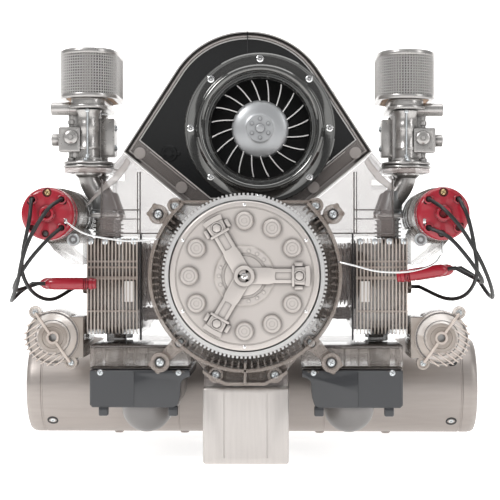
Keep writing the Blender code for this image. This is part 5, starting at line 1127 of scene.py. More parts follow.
for name, side in SIDES.items():
    upper = mm((71.1, 68.9), (72.9, 65.4), (78.8, 58.3), (85.8, 51.9))
    lower = mm((84.1, 49.2), (76.4, 54.8), (70.5, 62.4), (68.8, 66))
    tip = [(0.0958, 0.0397), (0.0954, 0.0392)] if side < 0 else [(0.0872, 0.0506), (0.0864, 0.0496)]
    wing = eased(plate(on_crank(sided(side, upper + tip + lower)), -0.001, 0.002), 0.0008, 3, 25)
    beads = [bar_between(side, (0.0412, 0.023), (0.0412, 0.044), 0.0005, -0.0098, -0.0088),
        bar_between(side, (0.0625, 0.0235), (0.0625, 0.06), 0.0004, *BEAD_DEPTH),
        bar_between(side, (0.064, 0.0235), (0.064, 0.06), 0.0003, *BEAD_DEPTH),
        bar_between(side, (0.0412, 0.024), (0.085, 0.024), 0.0004, -0.0098, -0.009),
        bar_between(side, (0.085, 0.0235), (0.085, 0.056), 0.0004, *BEAD_DEPTH),
        bar_between(side, (0.0626, 0.0377), (0.0784, 0.0377), 0.0004, *BEAD_DEPTH),
        bar_between(side, (0.0626, 0.0324), (0.074, 0.0324), 0.0003, *BEAD_DEPTH)]
    finished(wing, f"duct_wing_bar_{name}", RIM)
    finished(beads, f"duct_edge_beads_{name}", EDGE_CLEAR)
print("wing bars and beads done")


# %% [markdown]
# ## Air filters
# A perforated metal box with round ends, a lid and a base band. The mesh is the closed outline extruded in
# fifteen rows and turned into wires, and the pleated paper shows through it.

# %% One filter
FILTER_LOW, FILTER_HIGH = 0.1046, 0.1331
MESH_ROWS = 15
PLEAT_PITCH, PLEAT_DEPTH = 0.0009, 0.0008
HALF_BORES = BORE_PITCH / 2
CARB_X = 0.095
UPWARDS, BACKWARDS = (0, 0, 1), (0, 1, 0)


def filter_centre(side):
    return (side * CARB_X, 0.03 if side < 0 else 0.042)


def slot_band(centre, half_width, half_length, low, high, steps=20):
    return plate(slot(centre, half_width, half_length, steps), low, high, "Z")


def even_slot(centre, half_width, half_length, pitch):
    """A slot outline with points at one pitch, so that the holes of the mesh come out square."""
    fine = slot(centre, half_width, half_length, 40)
    loop = [Vector(p) for p in fine] + [Vector(fine[0])]
    total = sum((b - a).length for a, b in zip(loop, loop[1:]))
    count = round(total / pitch)
    placed, at, passed = [], 0, 0.0
    for number in range(count):
        wanted = total * number / count
        while passed + (loop[at + 1] - loop[at]).length < wanted:
            passed += (loop[at + 1] - loop[at]).length
            at += 1
        gap = (loop[at + 1] - loop[at]).length
        placed.append(tuple(loop[at].lerp(loop[at + 1], (wanted - passed) / gap)))
    return placed


def mesh_wall(centre, half_width, half_length, low, high, rows, bar):
    outline = even_slot(centre, half_width, half_length, (high - low) / rows)
    drawn([(u, v, low) for u, v in outline] + [(*outline[0], low)], closed=False)
    bpy.ops.mesh.remove_doubles(threshold=0.00001)
    for row in range(rows):
        level = low + row * (high - low) / rows
        pick_edges(lambda a, b: max(abs(a.z - level), abs(b.z - level)) < 0.00001)
        bpy.ops.mesh.extrude_edges_move(TRANSFORM_OT_translate={"value": (0, 0, (high - low) / rows)})
    closed_up()
    done()
    return modified(bpy.context.object, "WIREFRAME", thickness=bar, use_even_offset=False)


def pleats(centre, half_width, half_length, low, high):
    outline = even_slot(centre, half_width, half_length, PLEAT_PITCH)
    middle = Vector(centre)
    folded = [tuple(Vector(p) + (Vector(p) - middle).normalized() * (PLEAT_DEPTH if n % 2 else -PLEAT_DEPTH))
        for n, p in enumerate(outline)]
    return plate(folded, low, high, "Z")


for name, side in SIDES.items():
    x, y = centre = filter_centre(side)
    low, high = height(FILTER_LOW), height(FILTER_HIGH)
    wall = mesh_wall(centre, 0.0166, 0.0314, low + 0.0022, high - 0.0022, MESH_ROWS, 0.0009)
    replacing(wall, f"air_filter_{name}", "mesh", MESH_SILVER)
    lid = slot_band(centre, 0.0172, 0.032, high - 0.0026, high)
    step = slot_band(centre, 0.0155, 0.0303, high - 0.0002, high + 0.0007)
    base = cut(slot_band(centre, 0.0172, 0.032, low, low + 0.0026), slot_band(centre, 0.014, 0.0288,
        low - 0.001, low + 0.004))
    for part, width in ((lid, 0.0005), (base, 0.0005), (step, 0.0003)):
        eased(part, width, 2, 50)
    knobs = [turned("Z", (x + off, y + off), mm((0, 0), (3.4, 0), (3.4, 1), (2.8, 1.5), (1.6, 1.5),
        (1.6, 2.6), (1.2, 2.9), (0, 2.9), start=high), 24) for off in (-0.008, 0.008)]
    replacing([lid, step, base, *knobs], f"air_filter_{name}", "lid", SILVER)
    floor = cut(slot_band(centre, 0.015, 0.0298, low + 0.0004, low + 0.0012), slot_band(centre, 0.0106,
        0.0296, low - 0.001, low + 0.004))
    finished(floor, f"air_filter_{name}_floor", FELT)
    paper = pleats(centre, 0.0135, 0.028, low + 0.0005, high - 0.0027)
    finished(paper, f"air_filter_{name}_paper", PAPER)
    print(name, "filter mesh", len(wall.data.polygons))


# %% [markdown]
# ## Carburettors
# Each carburettor is a casting with two barrels on a base flange. The barrels are turned with their beads. On
# the outer side sit a hollow-ended bowl, an accelerator pump with its cap and a throttle rod with a ball
# joint, and on the inner side a box with two bolts. One loop builds both, each at its own place.

# %% Carburettor castings
def side_block(side, inner, outer, near, far, low, high):
    """A block on one side, from its distances out, its world Y and its heights above the crank."""
    xs = sorted((side * inner, side * outer))
    return block((xs[0], near, height(low)), (xs[1], far, height(high)))


def rounded_slot(centre, half_width, half_length, low, high, edge=0.0006):
    return eased(slot_band(centre, half_width, half_length, low, high), edge, 2, 50)


def hollow_cup(axis, centre, radius, mouth, root, depth=0.0012):
    """A turned cup whose open end, at the mouth, is stepped and hollow."""
    way = 1 if root > mouth else -1
    return turned(axis, centre, [(0, root), (radius, root), (radius, mouth + way * 0.0004),
        (radius - 0.0004, mouth), (radius * 0.72, mouth), (radius * 0.66, mouth + way * depth),
        (0, mouth + way * depth)], 32)


def panelled(obj, test, thickness, depth):
    """Presses a panel into the faces that pass the test."""
    editing(obj)
    pick_faces(test)
    bpy.ops.mesh.inset(thickness=thickness, depth=depth)
    return done()


def hex_bolt(place, facing, radius=0.0016, rise=0.0013):
    head = cylinder("Y", radius, -rise, 0.0002, (0, 0), 6)
    eased(head, 0.0002, 1, 50)
    collar = cylinder("Y", radius * 1.25, -0.0003, 0.0002, (0, 0), 20)
    return face_on(joined(head, collar), place, facing)


for name, side in SIDES.items():
    x, y = centre = filter_centre(side)
    front, back = y - HALF_BORES, y + HALF_BORES
    parts = [rounded_slot(centre, 0.015, 0.034, height(0.0633), height(0.0645), 0.0004),
        rounded_slot(centre, 0.0136, 0.0326, height(0.0643), height(0.0655), 0.0002),
        rounded_slot(centre, 0.0146, 0.0336, height(0.0653), height(0.0668), 0.0005),
        rounded_slot(centre, 0.0118, 0.0308, height(0.0984), height(0.1003), 0.0004),
        rounded_slot(centre, 0.0103, 0.0293, height(0.1), height(0.1043), 0.0003)]
    for bore in (front, back):
        parts.append(turned("Z", (x, bore), mm((0, 67), (8.2, 67), (8, 68.2), (6.6, 69.5), (6.4, 74),
            (6.8, 74.6), (6.8, 75.8), (6.4, 76.4), (6.2, 85), (6.6, 85.8), (6.6, 90), (6.3, 90.7), (6.5, 95),
            (7.8, 97.2), (7.8, 97.6), (0, 97.6), start=CRANK_Z), 36))
    parts.append(eased(block((x - 0.0045, front, height(0.0671)), (x + 0.0045, back, height(0.0976))), 0.0008,
        2))
    parts += [eased(block((x - side * 0.0078 - 0.0006, bore - 0.0006, height(0.0672)),
        (x - side * 0.006 + 0.0006, bore + 0.0006, height(0.0972))), 0.0003, 1) for bore in (front, back)]
    parts.append(eased(block((side * 0.0945 - 0.0005, front - 0.0073, height(0.0672)),
        (side * 0.0945 + 0.0005, front - 0.0055, height(0.099))), 0.0003, 2))
    parts.append(turned("Z", (side * 0.105, front + 0.001), mm((0, 66.8), (2.6, 66.8), (2.6, 69), (1.8, 69.8),
        (1.8, 75), (2.3, 75.3), (2.3, 76.8), (1.8, 77.1), (1.8, 89), (2.4, 89.4), (2.4, 91.5), (1.8, 92),
        (2, 99), (0, 99), start=CRANK_Z), 24))
    post = side_block(side, 0.0985, 0.105, front - 0.0005, front + 0.003, 0.0672, 0.0988)
    parts.append(eased(post, 0.0006, 2))
    bowl = (front, height(0.0985))
    parts.append(hollow_cup("X", bowl, 0.0039, side * 0.117, side * 0.0965))
    parts.append(hoop("X", bowl, 0.0036, 0.0041, side * 0.107, side * 0.106, 32))
    pump = side_block(side, 0.099, 0.1122, front - 0.006, front + 0.006, 0.0725, 0.0873)
    panelled(pump, lambda centre, normal: normal.y < -0.5, 0.0022, -0.0006)
    parts.append(eased(pump, 0.001, 2, 50))
    parts.append(hollow_cup("X", (front, height(0.0799)), 0.0036, side * 0.1167, side * 0.1118, 0.0008))
    parts.append(turned("Y", (side * 0.1046, height(0.0812)), mm((0, -5.8), (4.2, -5.8), (4, -6.8), (3, -7.4),
        (1.4, -7.4), (1.2, -8.2), (0, -8.2), start=front), 28))
    box = side_block(side, 0.0805, 0.0905, y - 0.007, y + 0.007, 0.0707, 0.0938)
    panelled(box, lambda centre, normal: normal.x * side < -0.5, 0.0016, -0.0005)
    parts.append(eased(box, 0.0009, 2, 50))
    casting = replacing(parts, f"carburettor_{name}", "casting", SILVER)

    bolts = [hex_bolt((side * 0.0809, y, height(up)), (-side, 0, 0)) for up in (0.0762, 0.0883)]
    bolts += [hex_bolt((x, y + way * 0.0322, height(0.0672)), UPWARDS, 0.0013, 0.0012) for way in (-1, 1)]
    rod = tube([(side * 0.0945, front - 0.0083, height(0.0965)),
        (side * 0.0945, front - 0.0083, height(0.07))], 0.0006)
    ball = turned("Y", (side * 0.0945, height(0.0697)), mm((0, -10), (0.9, -9.7), (1.4, -9), (1.6, -8.3),
        (1.4, -7.5), (0.8, -6.9), (0.8, -5.5), (0, -5.5), start=front), 20)
    arm = eased(block((side * 0.0945 - 0.0012, front - 0.009, height(0.0958)),
        (side * 0.0945 + 0.0012, front - 0.005, height(0.0978))), 0.0005, 2)
    finished([rod, ball, arm, *bolts], f"carburettor_{name}_linkage", ZINC)
    print(name, "carburettor", len(casting.data.polygons))


# %% [markdown]
# ## Intake manifolds
# A clear gasket plate under the carburettor carries two runners side by side. Each runner curves inwards to
# its flange on the head. The runner is a smooth line with a round section. A dark tapered collar stands
# between the runner and the head's flange, which two screws hold.

# %% Manifolds
def runner_line(side, bore):
    points = [Vector((side * (CARB_X - 0.01 * s), bore, height(0.0627 - 0.0265 * t)))
        for t, s in ((0, 0), (0.22, 0.02), (0.5, 0.38), (0.78, 0.94), (1, 1))]
    return smooth_route(points, 14)


for name, side in SIDES.items():
    x, y = centre = filter_centre(side)
    plate_part = rounded_slot(centre, 0.0145, 0.0335, height(0.06), height(0.063), 0.0008)
    finished(plate_part, f"intake_gasket_{name}", GASKET, stands_for=[f"intake_manifold_{name}"])
    pipes, collars, screws_at = [], [], []
    for bore in (y - HALF_BORES, y + HALF_BORES):
        pipes.append(tube(runner_line(side, bore), 0.006, 24))
        pipes.append(turned("Z", (x, bore), mm((5.5, 60.3), (8, 60), (7.8, 59), (6.2, 57.5), (5.5, 57),
            start=CRANK_Z), 32))
        out = side * 0.085
        collar = cylinder("Z", 0.0078, height(0.0362), height(0.038), (out, bore), 40)
        editing(collar)
        for lean, rise, spread in ((0.0, 0.0006, 0.93), (0.0024, 0.01, 0.86), (0.0004, 0.0012, 0.92)):
            pick_faces(lambda at, normal: normal.z > 0.9)
            bpy.ops.mesh.extrude_region_move(TRANSFORM_OT_translate={"value": (side * lean, 0, rise)})
            bpy.ops.transform.resize(value=(spread, spread, 1))
        collars.append(done())
        flange = eased(block((out - 0.0078, bore - 0.0078, height(0.0338)),
            (out + 0.0078, bore + 0.0078, height(0.0363))), 0.0009, 2, 50)
        pipes.append(flange)
        screws_at += [(out + off, bore - 0.0062, height(0.0362)) for off in (-0.0062, 0.0062)]
    replacing(pipes, f"intake_manifold_{name}", "runners", SILVER)
    finished(collars, f"intake_manifold_{name}_collars", DARK_SILVER)
    heads = [hex_bolt(place, UPWARDS, 0.0013, 0.001) for place in screws_at]
    finished(heads, f"intake_manifold_{name}_screws", ZINC)
print("manifolds done")


# %% [markdown]
# ## Distributor caps and plug connectors
# The red caps are turned and then get four slanted sockets, a tower ring in the middle, a counterbore for a
# brass screw at the top and a screw hole lower down. The cutters are turned too. The connectors are turned
# with the flat collar and the round nose of a real plug cap.

# %% Caps
CAP_MOUTH = -0.0535
SOCKET_OUT, SOCKET_UP = 0.0082, 0.0079


def pit(centre, out, up, radius, floor):
    """A round cutter into the face of a cap."""
    return cylinder("Y", radius, CAP_MOUTH, floor, (centre[0] + out, centre[1] + up), 24)


for name, side in SIDES.items():
    centre = (side * CAM_X, height(CAM_UP))
    body = turned("Y", centre, mm((0, -34), (14.4, -34), (14.8, -34.4), (14.8, -38.2), (14.6, -38.5),
        (14.6, -39), (14.8, -39.3), (14.8, -49), (14.5, -50.4), (13.6, -51.5), (12.4, -52), (4.6, -52),
        (4.2, -52.4), (4, -54.3), (3.7, -54.5), (2.8, -54.5), (2.6, -54.2), (2.6, -51.8), (2, -51.2),
        (0, -51.2)), 72)
    rims = [turned("Y", (centre[0] + a * SOCKET_OUT, centre[1] + u * SOCKET_UP),
        mm((1.7, -51.8), (2.7, -51.8), (2.6, -52.4), (2.3, -52.6), (1.8, -52.6)), 24) for a in (-1, 1)
        for u in (-1, 1)]
    holes = []
    for a in (-1, 1):
        for u in (-1, 1):
            holes.append(pit(centre, a * SOCKET_OUT, u * SOCKET_UP, 0.0017, -0.049))
            holes.append(pit(centre, a * 0.0098, u * 0.0063, 0.0013, -0.0503))
    holes += [pit(centre, 0, 0.0118, 0.0026, -0.0498), pit(centre, -0.001, -0.0111, 0.0021, -0.0495)]
    cut(body, *holes)
    replacing([body, *rims], f"distributor_cap_{name}", "red", RED)
    screw = face_on(phillips(0.0019, 0.0009), (centre[0], -0.05, centre[1] + 0.0118))
    finished(screw, f"distributor_cap_{name}_screw", BRASS)
    low_screw = face_on(phillips(0.0014, 0.0005), (centre[0] - 0.001, -0.0496, centre[1] - 0.0111))
    finished(low_screw, f"distributor_cap_{name}_low_screw", DARK_SILVER)
    print(name, "cap", len(body.data.polygons))


# %% Plug connectors
for name, side in SIDES.items():
    for kind in ("front", "rear"):
        start, heading = connector_line(side, kind)
        body = turned("Y", (0, 0), mm((0, 0), (2.6, 0), (3, 0.4), (3, 2), (3.4, 2.4), (3.4, 4), (2.9, 4.6),
            (2.9, 6.8), (3.45, 7.5), (3.45, 24), (3.3, 26.2), (2.8, 27.8), (2.1, 28.7), (1.8, 29.2),
            (0, 29.2)), 32)
        ribs = [turned("Y", (0, 0), [(0.003, a), (0.00345, a + 0.0002), (0.00345, a + 0.0006),
            (0.003, a + 0.0008)], 32) for a in (0.005, 0.006)]
        made = joined(body, *ribs)
        turning = heading.to_track_quat("Y", "Z").to_matrix().to_4x4()
        made.data.transform(Matrix.Translation(start) @ turning)
        replacing(made, f"plug_connector_{name}_{kind}", "red", RED)
print("plug connectors done")


# %% [markdown]
# ## Cylinder heads
# Clear castings with thin cooling fins. The fins that show on the photo stand upright and run front to back,
# so they are thin plates with rounded corners, copied across the head. Between them run the cast core, the
# ports and the sparking plug wells. The fins are thinner and closer than the solid's, in the same envelope.

# %% Heads
HEAD_INNER, HEAD_OUTER = 0.0613, 0.0945
HEAD_HALF_DEPTH, HEAD_TOP_UP, HEAD_BOTTOM_UP = 0.044, 0.0213, -0.0351
HEAD_FINS = 15
CHAMBER_RADIUS = 0.0147


def span_block(side, inner, outer, front, back, low, high):
    """A block on one side, with its ends counted from the middle plane of the cylinders."""
    return side_block(side, inner, outer, station(front), station(back), low, high)


def rounded_plate_x(side, inner, outer, front, back, low, high, edge):
    """A thin plate across X with rounded corners."""
    made = span_block(side, inner, outer, front, back, low, high)
    editing(made)
    pick_edges(lambda a, b: abs(a.x - b.x) > 0.5 * (outer - inner))
    bpy.ops.mesh.bevel(offset=edge, segments=4)
    return done()


def chamber(side, bore):
    """The round-roofed room over one bore, as a cutter."""
    dome = [(CHAMBER_RADIUS * math.cos(a), side * (HEAD_INNER + CHAMBER_RADIUS * math.sin(a)))
        for a in map(math.radians, range(0, 90, 10))]
    mouth = side * (HEAD_INNER - 0.0035)
    top = side * (HEAD_INNER + CHAMBER_RADIUS)
    return turned("X", (bore, CRANK_Z), [(0, mouth), (CHAMBER_RADIUS, mouth)] + dome + [(0, top)], 44)


for name, side in SIDES.items():
    bores = [bore_station(side, way) for way in (0, BORE_PITCH)]
    core = eased(span_block(side, HEAD_INNER, HEAD_OUTER - 0.0006, -0.041, 0.041, -0.0321, 0.0183), 0.0014, 2,
        50)
    cut(core, *[chamber(side, bore) for bore in bores])
    fins = []
    for number in range(1, HEAD_FINS + 1):
        inner = HEAD_INNER + 0.0012 + (HEAD_OUTER - HEAD_INNER - 0.0022) * number / HEAD_FINS
        fins.append(rounded_plate_x(side, inner - 0.0008, inner, -HEAD_HALF_DEPTH, HEAD_HALF_DEPTH,
            HEAD_BOTTOM_UP, HEAD_TOP_UP, 0.0035))
    bars = [eased(span_block(side, HEAD_INNER + 0.002, HEAD_OUTER - 0.001, -0.0433, -0.0408, up, up + 0.0012),
        0.0004, 1) for up in (0.007, 0.0036, -0.0022, -0.003, -0.022)]
    parts = [core]
    for bore in bores:
        ribs = [(wide, height(0.02 + 0.0024 * step + rise)) for step in range(5)
            for wide, rise in ((0.007, 0), (0.007, 0.0007), (0.0056, 0.001), (0.0056, 0.0021))]
        parts.append(turned("Z", (side * 0.085, bore), [(0, height(0.018)), (0.007, height(0.018))] + ribs
            + mm((6.6, 32.6), (6.6, 33.3), (0, 33.3), start=CRANK_Z), 40))
        parts.append(turned("Z", (side * 0.078, bore), mm((0, -30), (6, -30), (6, -39.5), (5.6, -40.1),
            (0, -40.1), start=CRANK_Z), 32))
        parts.append(turned("X", (bore, height(-0.0077)), mm((1.6, 90.5), (4, 90.5), (4, 97.5), (3.6, 98),
            (2.4, 98), (1.6, 97), way=side), 24))
    head = replacing(parts, f"cylinder_head_{name}", "casting", SHADED_CORE)
    fins = cut(joined(*fins), *[chamber(side, bore) for bore in bores])
    replacing([fins, *bars], f"cylinder_head_{name}", "fins", FINNED)

    pins = []
    for kind in ("front", "rear"):
        start, heading = connector_line(side, kind)
        at = start + heading * 0.0038
        pins.append(cylinder("Y", 0.0016, at.y + 0.0037, station(-0.0405), (at.x, at.z), 20))
    pegs = [turned("Y", (side * out, height(0.0193)), mm((0, -43), (1.9, -43), (1.9, -43.4), (1.4, -43.7),
        (0, -43.7), start=MIDDLE_Y), 16) for out in (0.066, 0.0745, 0.083, 0.0915)]
    finished(pins + pegs, f"cylinder_head_{name}_studs", ZINC)
    # Painted light: a near-white opaque plate stands for the bright light that shows through the clear head
    # here.
    window = eased(span_block(side, 0.0657, 0.0715, -0.0438, -0.0432, -0.016, -0.0038), 0.0003, 1)
    finished(window, f"cylinder_head_{name}_window", PAINTED_LIGHT_PATCH)
    print(name, "head", len(head.data.polygons))


# %% [markdown]
# ## Barrels
# A barrel is a plain sleeve with fourteen thin fins, each spun round its bore. The tops of the fins are
# rounded, the bore stays open for the piston, and square flanges with rounded corners close both ends.

# %% Barrel pairs
BARREL_INNER, BARREL_OUTER = 0.0243, 0.061
BARREL_FLANGE = 0.002
BARREL_FINS = 14
BARREL_PITCH = (BARREL_OUTER - BARREL_INNER - 2 * BARREL_FLANGE) / BARREL_FINS


def barrel_fin(side, number):
    middle = BARREL_INNER + BARREL_FLANGE + BARREL_PITCH * (number + 0.5)
    section = ((0.0158, -0.0006), (0.0183, -0.0004), (0.0187, 0.0), (0.0183, 0.0004), (0.0158, 0.0006))
    return [(radius, side * (middle + off)) for radius, off in section]


for name, side in SIDES.items():
    bores = [bore_station(side, way) for way in (0, BORE_PITCH)]
    parts = [hoop("X", (bore, CRANK_Z), 0.0142, 0.016, side * BARREL_INNER, side * BARREL_OUTER, 64)
        for bore in bores]
    fins = [turned("X", (bore, CRANK_Z), barrel_fin(side, number), 48) for bore in bores
        for number in range(BARREL_FINS)]
    replacing(fins, f"cylinder_pair_{name}", "fins", FINNED)
    for inner in (BARREL_INNER, BARREL_OUTER - BARREL_FLANGE):
        xs = sorted((side * inner, side * (inner + BARREL_FLANGE)))
        flange = block((xs[0], bores[0] - 0.0187, height(-0.0187)),
            (xs[1], bores[1] + 0.0187, height(0.0187)))
        editing(flange)
        pick_edges(lambda a, b: abs(a.x - b.x) > 0.001)
        bpy.ops.mesh.bevel(offset=0.005, segments=5)
        done()
        cut(flange, *[cylinder("X", 0.015, xs[0] - 0.001, xs[1] + 0.001, (bore, CRANK_Z), 48)
            for bore in bores])
        parts.append(flange)
    replacing(parts, f"cylinder_pair_{name}", "barrels", SHADED_CORE)
print("barrels done")


# %% [markdown]
# ## Oil return tubes
# Two short clear tubes on each side run under the barrels from the head to the crankcase. Each is one turned
# section with three folds near either end.

# %% Oil return tubes
def folds(side, first):
    """Three folds of a tube's wall, 2 mm apart."""
    crests = [first + 0.002 * number for number in range(3)]
    return [pair for x in crests for pair in ((0.003, side * (x - 0.0009)), (0.0036, side * x))]


for name, side in SIDES.items():
    middle = bore_station(side, BORE_PITCH / 2)
    section = mm((2.6, 24.6), (4, 24.6), (4, 26.2), way=side) + folds(side, 0.0272)
    section += [(0.003, side * 0.0321)] + folds(side, 0.0535)
    section += mm((3, 58.6), (4, 59.2), (4, 60.8), (2.6, 60.8), way=side)
    tubes = [turned("X", (middle + way, height(-0.0236)), section, 32) for way in (-0.027, -0.009)]
    finished(tubes, f"oil_return_tubes_{name}", CASING)
print("oil return tubes done")


# %% [markdown]
# ## Intake camshaft housings
# The intake camshaft runs in a clear drum behind the red cap. The drum is turned with four thin bands, and a
# foot with a slanted outline joins it to the head. A washer with a bolt holds it, and a clip holds the wire.

# %% Intake cam housings
CAM_BACK = station(0.045)
CAM_FRONT = station(-0.05)
for name, side in SIDES.items():
    centre = (side * CAM_X, height(CAM_UP))
    front = CAM_FRONT
    drum = turned("Y", centre, [(0.008, CAM_BACK), (0.0154, CAM_BACK), (0.0158, CAM_BACK - 0.0004),
        (0.0158, front + 0.0022), (0.0158, front + 0.0022), (0.015, front + 0.0004), (0.013, front),
        (0.013, -0.0337), (0.008, -0.0337)], 64)
    bands = [hoop("Y", centre, 0.0152, 0.01588, station(a), station(a + 0.0012), 64)
        for a in (-0.03, -0.01, 0.01, 0.03)]
    foot_outline = mm((94.9, 5.6), (94.9, 23.4), (98.5, 33.5), (102, 35.5), (108, 30), (121.5, 26.5),
        (112, 14), (102, 6))
    foot = plate(on_crank(sided(side, foot_outline)), front + 0.0005, CAM_BACK - 0.0005)
    eased(foot, 0.0008, 2, 40)
    cut(foot, cylinder("Y", 0.0148, front - 0.01, CAM_BACK + 0.01, centre, 64))
    replacing([drum, foot, *bands], f"intake_cam_housing_{name}", "casting", CASING)
    screw_axis = (side * 0.1006, height(0.0203))
    washer = turned("Y", screw_axis, mm((0, 0.6), (3.7, 0.6), (3.7, -0.2), (3.4, -0.5), (2.5, -0.5),
        (2.4, -0.2), (0, -0.2), start=front), 32)
    finished(washer, f"intake_cam_washer_{name}", ZINC)
    stud = turned("Y", screw_axis, mm((1.2, 0), (2.4, 0), (2.3, -0.9), (2, -1.2), (1.4, -1.2), (1.2, -0.9),
        start=front), 28)
    finished(stud, f"intake_cam_bolt_{name}", DARK_SILVER)
    clip = eased(block((side * 0.0995 - 0.0009, -0.0521, height(0.029)), (side * 0.0995 + 0.0009, -0.05,
        height(0.0318))), 0.0003, 2)
    finished(clip, f"wire_clip_{name}", BRIGHT)
print("intake cam housings done")


# %% [markdown]
# ## Exhaust camshaft covers
# Low down on each side a round clear cover stands on a foot and is bored for the camshaft. A slanted ridge
# runs over its face between two screw lugs. Eleven fins lie square to the ridge. Each runs from the eye to
# the edge and on along the outside of the cover.

# %% Exhaust cam covers
RIDGE_DEGREES = 54.6
RIDGE = Vector((math.cos(math.radians(RIDGE_DEGREES)), math.sin(math.radians(RIDGE_DEGREES))))
FIN_WAY = Vector((RIDGE.y, -RIDGE.x))
EYE = Vector((0.1125, -0.0365))
COVER_RADIUS = 0.0158
COVER_FINS, FIN_PITCH = 11, 0.0028


def chord(radius, offset):
    return math.sqrt(max(radius**2 - offset**2, 0))


for name, side in SIDES.items():
    centre = (side * EYE.x, height(EYE.y))
    front = CAM_FRONT
    body = plate([(side * (EYE.x + u), height(EYE.y + v)) for u, v in arc((0, 0), COVER_RADIUS, 0, 357, 90)],
        front, CAM_BACK)
    eased(body, 0.0008, 2, 50)
    cut(body, cylinder("Y", 0.008, front + 0.0025, CAM_BACK + 0.01, centre, 48),
        cylinder("Y", 0.0023, front - 0.01, front + 0.01, centre, 32))
    fins = []
    for number in range(COVER_FINS):
        offset = -0.014 + FIN_PITCH * number
        start = max(chord(0.009, offset), 0.0016)
        tip = EYE + RIDGE * offset + FIN_WAY * (chord(COVER_RADIUS, offset) + 0.0011)
        fins.append(bar_between(side, EYE + RIDGE * offset + FIN_WAY * start, tip, 0.0005, front - 0.0015,
            front + 0.0008))
        root = EYE + RIDGE * offset + FIN_WAY * (chord(COVER_RADIUS, offset) - 0.0006)
        fins.append(bar_between(side, root, tip, 0.00055, front + 0.0006, CAM_BACK - 0.0004))
    ridge = [bar_between(side, EYE + RIDGE * way * 0.0034, EYE + RIDGE * way * 0.0176, 0.0009, front - 0.002,
        front + 0.0006) for way in (-1, 1)]
    boss_ring = turned("Y", centre, mm((2.3, 0.4), (8.5, 0.4), (8.5, -0.3), (8, -0.6), (6.4, -0.6), (6, 0.1),
        (2.3, 0.1), start=front), 48)
    eye_ring = turned("Y", centre, mm((2.1, 0), (4, 0), (4, -1.4), (3.6, -1.8), (2.4, -1.8), (2.1, -1.2),
        start=front), 40)
    rings = [hoop("Y", centre, r, r + wide, front + 0.0003, front - 0.0005, 64)
        for r, wide in ((0.0098, 0.0004), (0.014, 0.0009))]
    foot = side_block(side, 0.0948, 0.1125, front + 0.0006, CAM_BACK - 0.0003, -0.0485, -0.0245)
    eased(foot, 0.0008, 2, 50)
    cut(foot, cylinder("Y", 0.015, front - 0.01, CAM_BACK + 0.01, centre, 48))
    lugs, screw_at = [], []
    for way in (-1, 1):
        out, up = EYE + RIDGE * way * 0.018
        lugs.append(turned("Y", (side * out, height(up)), mm((0, 7.6), (3.8, 7.6), (3.8, 1.2), (3.4, 0.9),
            (2.6, 0.9), (2.4, 1.6), (0, 1.6), start=front), 28))
        screw_at.append((side * out, front + 0.0017, height(up)))
    node = f"exhaust_cam_cover_{name}"
    finished(rings, node + "_rings", EDGE_CLEAR)
    replacing([body, boss_ring, foot, *lugs], node, "casting", COVER)
    replacing(fins, node, "fins", FINNED)
    finished([eye_ring, *ridge], node + "_hub", FINNED)
    finished(placed_copies(phillips(0.0018, 0.0008), screw_at), node + "_screws", ZINC)
    print(name, "cam cover", len(body.data.polygons))


# %% [markdown]
# ## Heater boxes, black covers and silencer
# The boxes under the heads are clear with rounded edges and two long ribs. The black covers in front of them
# are an outline with a curved notch, extruded and eased. The silencer is a turned drum with beaded seams near
# its ends. Its two inlet elbows have round front ends and stop at the black covers.

# %% Heater boxes
for name, side in SIDES.items():
    box = eased(span_block(side, 0.0315, 0.09, -0.0585, 0.05, -0.0541, -0.0405), 0.0028, 4, 60)
    ribs = [eased(span_block(side, a, a + 0.0009, -0.0583, 0.049, -0.0412, -0.0406), 0.0002, 1)
        for a in (0.04, 0.051, 0.062, 0.073)]
    recess = [span_block(side, 0.035, 0.058, -0.059, -0.057, -0.0515, -0.044), span_block(side, 0.062, 0.0865,
        -0.059, -0.057, -0.0515, -0.044)]
    cut(box, *recess, span_block(side, 0.0335, 0.088, -0.0555, 0.048, -0.0523, -0.0423))
    walls = [span_block(side, u, u + 0.001, -0.056, 0.0485, -0.053, -0.0415) for u in (0.056, 0.064, 0.07)]
    pipes = [turned("Z", (side * 0.078, bore_station(side, way)), mm((6, -52.1), (7.2, -52.1), (7.2, -44.5),
        (8, -44), (8, -42.5), (6, -42.5), start=CRANK_Z), 32) for way in (0, BORE_PITCH)]
    finished(pipes, f"heater_pipes_{name}", SILVER)
    lips = [span_block(side, 0.0317, 0.0898, -0.0584, 0.049, -0.0417, -0.0406),
        span_block(side, 0.0317, 0.0898, -0.0584, 0.049, -0.0541, -0.0533)]
    finished([eased(lip, 0.0003, 2) for lip in lips], f"heater_box_{name}_lips", EDGE_CLEAR)
    replacing([box, *walls, *ribs], f"heater_box_{name}", "casting", CASING)
    knob = turned("Y", (side * 0.0475, height(-0.0478)), mm((0, -56.8), (5.2, -56.8), (5.2, -57.8),
        (4.6, -58.3), (3.6, -58.3), (3.4, -57.9), (0, -57.9), start=MIDDLE_Y), 32)
    finished(knob, f"heater_box_{name}_knob", CASING)
print("heater boxes done")


